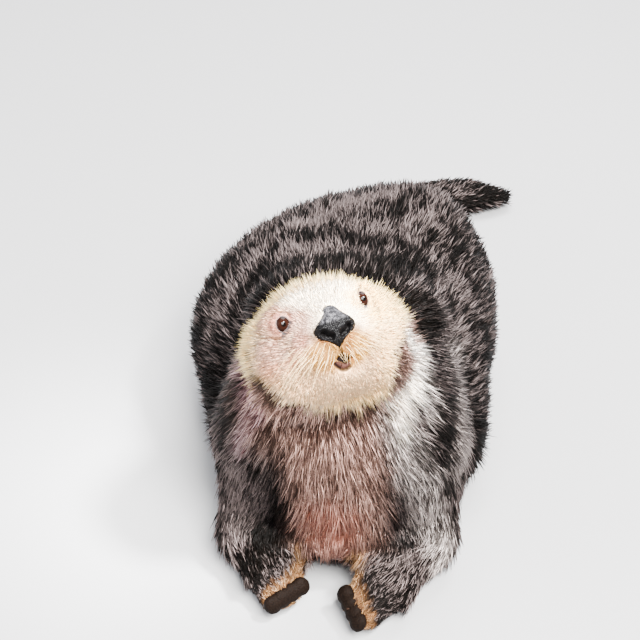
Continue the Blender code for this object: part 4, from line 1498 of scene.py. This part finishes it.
# name: (parts of the body, spacing of the roots, clump size, clumping, waviness, material slot)
PLANTINGS = {
    "coat_muzzle": (("muzzle", "lower_jaw"), 0.00080, 0.004, 0.15, 0.10, "blond_fur"),
    "coat_head": (("head", "ear"), 0.00118, 0.0052, 0.62, 0.14, "blond_fur"),
    "coat_neck": (("neck",), 0.0015, 0.008, 0.7, 0.25, "silver_fur"),
    "coat_chest": (("chest",), 0.00138, 0.008, 0.7, 0.25, "silver_fur"),
    "coat_forelegs": (("upper_arm", "forearm", "forepaw"), 0.0017, 0.008, 0.7, 0.25, "dark_fur"),
    "coat_shoulders": (("trunk_front",), 0.00160, 0.011, 0.9, 0.35, "dark_fur"),
    "coat_back": (("trunk",), 0.00175, 0.011, 0.9, 0.35, "dark_fur"),
    "coat_rump": (("rump", "thigh"), 0.0027, 0.012, 0.9, 0.30, "dark_fur"),
    "coat_tail": (("tail", "hindfoot"), 0.0024, 0.009, 0.6, 0.20, "dark_fur"),
}
BACK_SPLIT_Y = 0.135  # the trunk's coat is planted in two, in front of this and behind it
LOCK_CORNERS = 3 * len(LOCK_SECTIONS) + 1

bed_part = np.where((part == "trunk") & (surface.points[:, 1] < BACK_SPLIT_Y), "trunk_front", part)
coats = []
for number, (name, plan) in enumerate(PLANTINGS.items()):
    parts, spacing, clump_size, clumping, waviness, slot = plan
    bed = bed_of(name, np.isin(bed_part, parts))
    planting = bed.modifiers.new("coat", "NODES")
    planting.node_group = COAT
    give(planting, {
        "Spacing": spacing,
        "Locks": locks,
        "Clump size": clump_size,
        "Clumping": clumping,
        "Waviness": waviness,
        "Seed": number + 1,
        "Material": FUR,
    })
    grown = as_plain_mesh(bed)
    bed.modifiers.clear()
    bed.data = grown
    bed["slot"] = slot
    coats.append(bed)
    print(f"{name}: {len(grown.vertices) // LOCK_CORNERS} locks, {len(grown.polygons)} triangles")
print("in all", sum(len(c.data.polygons) for c in coats), "triangles of fur")

# %% [markdown]
# ## The nose pad
# The nose is bare, cobbled, dark grey leather, a piece of its own. It is a fan of rings inside an
# outline: nine places say how half of it runs, from the top to the lower tip, and the other half is
# its mirror image. How far forward each point lies comes from a side view, and strokes press in the
# nostrils. Its top is painted paler grey, a painted highlight where the light falls, and the nostrils
# are painted near black, a painted shade inside them.

# %% Shape of the nose pad
NOSE_HALF_WIDTH = 0.0197
HALF_NOSE = [
    (0.0, 0.0186), (0.0050, 0.0172), (0.0082, 0.0106), (0.0162, 0.0022), (NOSE_HALF_WIDTH, -0.0026),
    (0.0170, -0.0098), (0.0100, -0.0126), (0.0050, -0.0166), (0.0, PAD_FOOT),
]  # across and up
NOSE_SIDE_VIEW = [
    (PAD_FOOT, 0.0900), (-0.018, 0.0935), (-0.012, 0.0970), (-0.006, 0.0990),
    (0.000, 0.0992), (0.004, 0.0974), (0.010, 0.0935), (0.0182, 0.0870),
]  # up and forward
NOSTRIL = [(0.0052, 0, -0.0112), (0.0092, 0, -0.0096), (0.0122, 0, -0.0056)]
NOSTRIL_RIM = [(0.0035, 0, -0.0055), (0.0085, 0, -0.0030), (0.0150, 0, -0.0015)]
NOSTRIL_SLIT = [(0.0122, 0, -0.0060), (0.0180, 0, -0.0078)]
SEPTUM = [(0, 0, -0.0090), (0, 0, PAD_FOOT)]
NOSE_SCALE = 1.05  # the outline shrinks a little when its corners are cut, so it is drawn larger
NOSE_RINGS = (1.10, 1.03, 0.99, 0.95, 0.90, 0.84, 0.78, 0.71, 0.64, 0.57, 0.50, 0.42, 0.34, 0.26, 0.17, 0.08)


def cut_corners(outline, rounds):
    """A closed outline made smoother by cutting its corners."""
    for _ in range(rounds):
        following = np.roll(outline, -1, axis=0)
        outline = np.stack((outline * 0.75 + following * 0.25, outline * 0.25 + following * 0.75), axis=1)
        outline = outline.reshape(-1, 2)
    return outline


def nose_forward(flat, share):
    """How far forward the pad lies at each place (across, up), share of the way out to its edge."""
    across, up = np.abs(flat[:, 0]), flat[:, 1]
    forward = np.interp(up, *zip(*NOSE_SIDE_VIEW))
    forward = forward - (across / NOSE_HALF_WIDTH) ** 2 * np.where(up > 0.002, 0.0050, 0.0068)
    forward = forward - 0.0022 * share**7 - 0.10 * np.maximum(share - 1, 0)
    half = np.stack((across, np.zeros_like(up), up), axis=1)
    dent = 0.0062 * stroke(half, NOSTRIL, 0.0040)
    dent += 0.0013 * stroke(half, NOSTRIL_SLIT, 0.0018)
    dent += 0.0008 * stroke(half, SEPTUM, 0.0013)
    dent -= 0.0011 * stroke(half, NOSTRIL_RIM, 0.0032)
    return forward - dent, half


def nose_pad():
    left = np.array(HALF_NOSE)
    right = left[1:-1][::-1] * (-1, 1)
    outline = cut_corners(np.concatenate((left, right)), 3)
    outline *= NOSE_SCALE
    hub = np.array((0.0, -0.003))  # middle of the rings
    work = bmesh.new()
    # the first layer marks the nostrils, painted near black as painted shade; the second the pad's top,
    # painted lighter as a painted highlight
    dark = work.verts.layers.float.new("nostril")
    top_highlight = work.verts.layers.float.new("top_highlight")
    rings = []
    for share in NOSE_RINGS + (0.0,):
        flat = hub + (outline - hub) * share
        if share == 0:
            flat = hub[None, :]
        forward, half = nose_forward(flat, share)
        inside = stroke(half, NOSTRIL, 0.0036)
        ring = []
        for (across, up), front, shade in zip(flat, forward, inside):
            vert = work.verts.new(on_head(across + NOSE_LEAN * (up - PAD_FOOT), front, up))
            vert[dark] = float(shade)
            vert[top_highlight] = float(ramp(np.array(up - 0.10 * abs(across)), 0.000, 0.004))
            ring.append(vert)
        rings.append(ring)
    count = len(rings[0])
    for outer, inner in zip(rings[:-2], rings[1:-1]):
        for n in range(count):
            m = (n + 1) % count
            work.faces.new((outer[n], outer[m], inner[m], inner[n]))
    for n in range(count):
        work.faces.new((rings[-2][n], rings[-2][(n + 1) % count], rings[-1][0]))
    work.faces.new(rings[0][::-1])
    bmesh.ops.recalc_face_normals(work, faces=work.faces)
    for face in work.faces:
        face.smooth = len(face.verts) < 9
    return new_object("nose_pad", finished_mesh(work, "nose_pad"))


nose = nose_pad()
print("nose pad:", len(nose.data.polygons), "faces")

# %% [markdown]
# A nose is cobbled all over with tiny cells, and creased. A Voronoi pattern makes the cobbles, as a
# bump, and a noise mottles the grey. The palm pads use the same cobbles later.

# %% Leather of the nose
def pebbled(name, size, height):
    """A material with a fine cobbled surface, as on bare skin."""
    material, tree, shader = blank_material(name)
    place = add(tree, "ShaderNodeTexCoord")
    cells = add(tree, "ShaderNodeTexVoronoi", {"Vector": place.outputs["Object"], "Scale": 1 / size})
    bump = {"Height": cells.outputs["Distance"], "Strength": 0.8, "Distance": height}
    bump = add(tree, "ShaderNodeBump", bump, invert=True)
    tree.links.new(bump.outputs[0], shader.inputs["Normal"])
    return material, tree, shader, cells.outputs["Distance"]


def nose_material():
    material, tree, shader, cells = pebbled("nose_leather", 0.0012, 0.0009)
    place = add(tree, "ShaderNodeTexCoord")
    creases = {"Vector": place.outputs["Object"], "Scale": 330.0, "Detail": 4.0}
    creases = add(tree, "ShaderNodeTexNoise", creases).outputs["Fac"]
    creased = add(tree, "ShaderNodeMapRange", {"Value": creases, "From Min": 0.42, "From Max": 0.62})
    grey = mixed(tree, creased.outputs[0], (0.0060, 0.0058, 0.0066), (0.066, 0.064, 0.070))
    grey = mixed(tree, cells, grey, (0.0040, 0.0039, 0.0046))
    # the pad's top is painted a lighter grey, a painted highlight where the light falls; below it near black
    colour = mixed(tree, painted(tree, "top_highlight"), (0.0010, 0.0009, 0.0010), grey)
    # the nostrils are painted near black: painted shade inside them
    colour = mixed(tree, painted(tree, "nostril"), colour, (0.001, 0.0008, 0.0008))
    tree.links.new(colour, shader.inputs["Base Color"])
    shine = maths(tree, "MULTIPLY_ADD", painted(tree, "top_highlight"), 0.03)
    shine.node.inputs[2].default_value = 0.05
    tree.links.new(shine, shader.inputs["Specular IOR Level"])
    shader.inputs["Roughness"].default_value = 0.33
    return material


nose.data.materials.append(nose_material())
print("nose leather:", nose.data.materials[0].name)

# %% [markdown]
# ## Eyes
# An eye is a wet, glossy ball. The pupil and the iris are only colours on it, so each point of the
# ball stores how far off the gaze it is, and a colour ramp turns that into rings.

# %% The eyeballs
# share of the way out, and the colour there
IRIS = [
    (0.00, (0.0008, 0.0005, 0.0004)),
    (0.22, (0.0010, 0.0006, 0.0005)),
    (0.32, (0.0060, 0.0019, 0.0011)),
    (0.72, (0.0042, 0.0014, 0.0009)),
    (0.86, (0.0010, 0.0006, 0.0005)),
    (1.00, (0.0040, 0.0030, 0.0030)),
]
IRIS_REACH = 60  # degrees off the gaze where the last colour of the list begins


def eye_material():
    """Wet glass over rings of colour."""
    material, tree, shader = blank_material("eye_glass")
    wheel = add(tree, "ShaderNodeValToRGB", {"Fac": painted(tree, "off_gaze")})
    ramp_points = wheel.color_ramp.elements
    while len(ramp_points) < len(IRIS):
        ramp_points.new(0.5)
    for point, (share, colour) in zip(ramp_points, IRIS):
        point.position = share
        point.color = (*colour, 1)
    tree.links.new(wheel.outputs["Color"], shader.inputs["Base Color"])
    shader.inputs["Roughness"].default_value = 0.05
    shader.inputs["Specular IOR Level"].default_value = 0.045
    return material


EYE_GLASS = eye_material()


def eyeball(side):
    gaze = OPENINGS[side][1]
    centre = eye_centre(side)
    look = (HEAD @ Vector(unit(gaze))).normalized()
    work = bmesh.new()
    bmesh.ops.create_uvsphere(work, u_segments=48, v_segments=36, radius=EYE_RADIUS)
    off_gaze = work.verts.layers.float.new("off_gaze")
    turn = look.to_track_quat("Z", "Y")
    for vert in work.verts:
        angle = math.degrees(vert.co.angle(Vector((0, 0, 1))))
        vert[off_gaze] = min(angle / IRIS_REACH, 1)
        vert.co = centre + turn @ vert.co
    mesh = finished_mesh(work, f"eyeball_{side}", smooth=True)
    mesh.materials.append(EYE_GLASS)
    return new_object(f"eyeball_{side}", mesh)


eyeballs = {side: eyeball(side) for side in OPENINGS}
print("eyeballs:", [ball.name for ball in eyeballs.values()])

# %% [markdown]
# ## Whiskers
# Whiskers are stiff, pale and tapered, and stand in rows on both sides of the muzzle. Each one's root
# is found by a ray shot at the face from in front. Seeded random numbers make them uneven, always in
# the same way. A few short hairs hang over the mouth.

# %% Grow the whiskers
WHISKER_ROOT = 0.00025  # radius at the root
WHISKER_STEPS = 9
WHISKER_ROWS = 5
WHISKER_COLUMNS = 7
FIRST_WHISKER = (0.0065, -0.0130)  # across and up of the root nearest the nose
WHISKER_GAP = 0.0042  # between neighbouring rows and columns
IN_FRONT = 0.13  # how far in front of the head's middle the rays start
LIP_HAIRS = [
    (-0.0032, -0.0262, 0.42), (-0.0010, -0.0258, 0.34), (0.0022, -0.0262, 0.10), (0.0042, -0.0270, -0.22),
    (0.0060, -0.0285, -0.34), (0.0075, -0.0300, -0.20),
]  # across, up and sideways lean of short hairs that hang over the mouth
whisker_luck = random.Random(7)


def whisker(work, root, out, length, droop, thickness=1.0):
    """One tapered whisker: out from the root, bent down by its weight."""
    rings = []
    for step in range(WHISKER_STEPS + 1):
        share = step / WHISKER_STEPS
        place = root + out * length * share + DOWN * droop * length * share**2
        radius = WHISKER_ROOT * thickness * (1 - 0.85 * share)
        first = out.cross(DOWN).normalized() * radius
        second = first.cross(out).normalized() * radius
        rings.append([work.verts.new(place + v) for v in (first, second, -first, -second)])
    for one, two in zip(rings, rings[1:]):
        for n in range(4):
            m = (n + 1) % 4
            work.faces.new((one[n], one[m], two[m], two[n]))
    work.faces.new(rings[0])
    work.faces.new(rings[-1][::-1])


def whiskers():
    skin_shell = BVHTree.FromPolygons(
        [tuple(p) for p in surface.points], [tuple(f.vertices) for f in skin.data.polygons]
    )
    back = Vector(FORWARD) * -1
    work = bmesh.new()
    for sign in (-1, 1):
        for row in range(WHISKER_ROWS):
            for column in range(WHISKER_COLUMNS):
                jitter = [whisker_luck.uniform(-1, 1) for _ in range(6)]
                across = sign * (FIRST_WHISKER[0] + WHISKER_GAP * column + 0.0013 * jitter[0])
                up = FIRST_WHISKER[1] - WHISKER_GAP * row + 0.0010 * column + 0.0012 * jitter[1]
                hit = skin_shell.ray_cast(on_head(across, IN_FRONT, up), back)[0]
                if hit is None:
                    continue
                fan = 0.35 + 0.17 * column + 0.14 * jitter[2]
                out = HEAD @ Vector((sign * fan, 0.62 - 0.06 * column, -0.34 + 0.08 * jitter[3]))
                length = 0.020 + 0.0022 * column + 0.005 * jitter[4]
                droop = 0.80 + 0.15 * jitter[5]
                thickness = 0.85 + 0.25 * jitter[4]
                whisker(work, hit + back * 0.002, out.normalized(), length, droop, thickness)
    for across, up, lean in LIP_HAIRS:
        hit = skin_shell.ray_cast(on_head(across, IN_FRONT, up), back)[0]
        out = HEAD @ Vector((lean, 0.55, -0.80))
        whisker(work, hit + back * 0.001, out.normalized(), 0.0100, 0.45, 0.5)
    bmesh.ops.recalc_face_normals(work, faces=work.faces)
    return new_object("whiskers", finished_mesh(work, "whiskers", smooth=True))


def plain_material(name, colour, roughness, specular=0.5):
    material, _, shader = blank_material(name)
    shader.inputs["Base Color"].default_value = (*colour, 1)
    shader.inputs["Roughness"].default_value = roughness
    shader.inputs["Specular IOR Level"].default_value = specular
    return material


beard = whiskers()
beard.data.materials.append(plain_material("whisker_horn", (0.62, 0.42, 0.20), 0.45, 0.1))
print("whiskers:", len(beard.data.polygons), "faces")

# %% [markdown]
# ## Pads and claws
# The palm pads and the claws are melted from their solids with a fine voxel, which rounds their
# edges as wear does. The pads get a pebbled, dark, dry leather; the claws a plain dark horn.

# %% Palm pads and claws
def rounded(name, sources, voxel, rounds, swell=0.0):
    """The solids swollen, melted finely and smoothed, as one piece."""
    made = melted(name, sources, voxel, swell)
    work = bmesh.new()
    work.from_mesh(made.data)
    every_way = {"use_axis_x": True, "use_axis_y": True, "use_axis_z": True}
    for _ in range(rounds):
        bmesh.ops.smooth_vert(work, verts=work.verts, factor=0.5, **every_way)
    for face in work.faces:
        face.smooth = True
    work.to_mesh(made.data)
    work.free()
    return made


def pad_material():
    """Dry, dark, cobbled leather."""
    material, tree, shader, cells = pebbled("pad_leather", 0.0014, 0.0007)
    colour = mixed(tree, cells, (0.0048, 0.0027, 0.0018), (0.0012, 0.0007, 0.0005))
    tree.links.new(colour, shader.inputs["Base Color"])
    shader.inputs["Roughness"].default_value = 0.6
    shader.inputs["Specular IOR Level"].default_value = 0.02
    return material


PAD_VOXEL = 0.0011
PAD_SWELL = 0.0022  # the pads stand out of the paws' fur
CLAW_VOXEL = 0.0006
PAD_LEATHER = pad_material()
CLAW_HORN = plain_material("claw_horn_paint", (0.012, 0.008, 0.006), 0.35, 0.25)
pads = {}
for side in ("left", "right"):
    pads[side] = rounded(f"pads_{side}", [f"palm_pads_{side}"], PAD_VOXEL, 5, swell=PAD_SWELL)
    pads[side].data.materials.append(PAD_LEATHER)
claw_nodes = sorted(name for name in nodes if name.startswith("claw"))
claws = rounded("claws", claw_nodes, CLAW_VOXEL, 2)
claws.data.materials.append(CLAW_HORN)
print("pads:", [len(pad.data.polygons) for pad in pads.values()], "claws:", len(claws.data.polygons))

# %% [markdown]
# ## Stage, light and camera
# A plain pale floor and broad soft lights show fur best: hard light would turn every lock into a
# splinter. One soft-edged beam falls on the face alone, which the fur's own colours leave too dim.

# %% Floor and lights
FLOOR_REACH = 9


def floor_plane():
    work = bmesh.new()
    bmesh.ops.create_grid(work, x_segments=1, y_segments=1, size=FLOOR_REACH)
    made = new_object("floor", finished_mesh(work, "floor"))
    made.data.materials.append(plain_material("floor_paint", (0.27, 0.27, 0.275), 0.7))


def hang_light(name, kind, place, aim, power, **settings):
    """A light at a place, aimed at another."""
    data = bpy.data.lights.new(name, kind)
    data.energy = power
    for setting, value in settings.items():
        setattr(data, setting, value)
    made = new_object(name, data)
    made.location = place
    made.rotation_euler = (Vector(aim) - Vector(place)).to_track_quat("-Z", "Y").to_euler()


def pale_world(colour, strength):
    world = bpy.data.worlds.new("studio")
    world.use_nodes = True
    background = next(node for node in world.node_tree.nodes if node.type == "BACKGROUND")
    background.inputs["Color"].default_value = (*colour, 1)
    background.inputs["Strength"].default_value = strength
    bpy.context.scene.world = world


floor_plane()
pale_world((0.95, 0.96, 1.0), 1.5)
HEART = Vector((0, 0.05, 0.18))
hang_light("key", "AREA", (0.7, -1.7, 2.4), HEART, 1000, size=1.2, color=(1, 0.98, 0.95))
hang_light("fill", "AREA", (-1.7, -1.0, 1.3), HEART, 80, size=1.6, color=(0.95, 0.97, 1))
hang_light("top", "AREA", (0.4, 1.1, 2.2), HEART, 260, size=1.4)
BEAM = {"spot_size": math.radians(14), "spot_blend": 1.0, "shadow_soft_size": 0.15}
hang_light("face", "SPOT", (0.72, -0.42, 1.62), HEAD_CENTRE, 2650, **BEAM)
print("lights:", [light.name for light in bpy.data.lights])

# %% [markdown]
# ### Camera
# The camera looks down at the face from well above the floor, as one stands before a resting animal.
# Its lens is worked out from how much it should take in across.

# %% The camera
CAMERA_AZIMUTH = math.radians(3)
CAMERA_ELEVATION = math.radians(38)
CAMERA_DISTANCE = 2.0
VIEW_WIDTH = 0.6208  # what the view takes in across, at the head's distance
HEAD_OFF_CENTRE = (0.0029, -0.0204)  # how far the head lies right of and above the view's middle


def stand_camera():
    data = bpy.data.cameras.new("camera")
    data.sensor_width = 36
    data.lens = data.sensor_width * CAMERA_DISTANCE / VIEW_WIDTH
    made = new_object("camera", data)
    flat = math.cos(CAMERA_ELEVATION)
    across, towards = math.sin(CAMERA_AZIMUTH) * flat, -math.cos(CAMERA_AZIMUTH) * flat
    back = Vector((across, towards, math.sin(CAMERA_ELEVATION)))
    turn = (-back).to_track_quat("-Z", "Y")
    right = turn @ Vector((1, 0, 0))
    up = turn @ Vector((0, 1, 0))
    seen = HEAD_CENTRE - right * HEAD_OFF_CENTRE[0] - up * HEAD_OFF_CENTRE[1]
    made.location = seen + back * CAMERA_DISTANCE
    made.rotation_mode = "QUATERNION"
    made.rotation_quaternion = turn
    return made


bpy.context.scene.camera = stand_camera()
print("camera at", [round(c, 3) for c in bpy.context.scene.camera.location])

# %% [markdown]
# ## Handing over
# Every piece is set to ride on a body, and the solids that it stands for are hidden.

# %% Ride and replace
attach(skin, "root")
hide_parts(*flesh_nodes)
for piece in coats:
    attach(piece, "root")
details = [(nose, ["nose"], "nose_skin"), (beard, [], "blond_fur"), (claws, claw_nodes, "claw_horn")]
details += [(ball, [f"eye_{side}"], "eye") for side, ball in eyeballs.items()]
details += [(pad, [f"palm_pads_{side}"], "pad_skin") for side, pad in pads.items()]
for piece, stands_for, finish in details:
    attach(piece, "root")
    if stands_for:
        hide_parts(*stands_for)
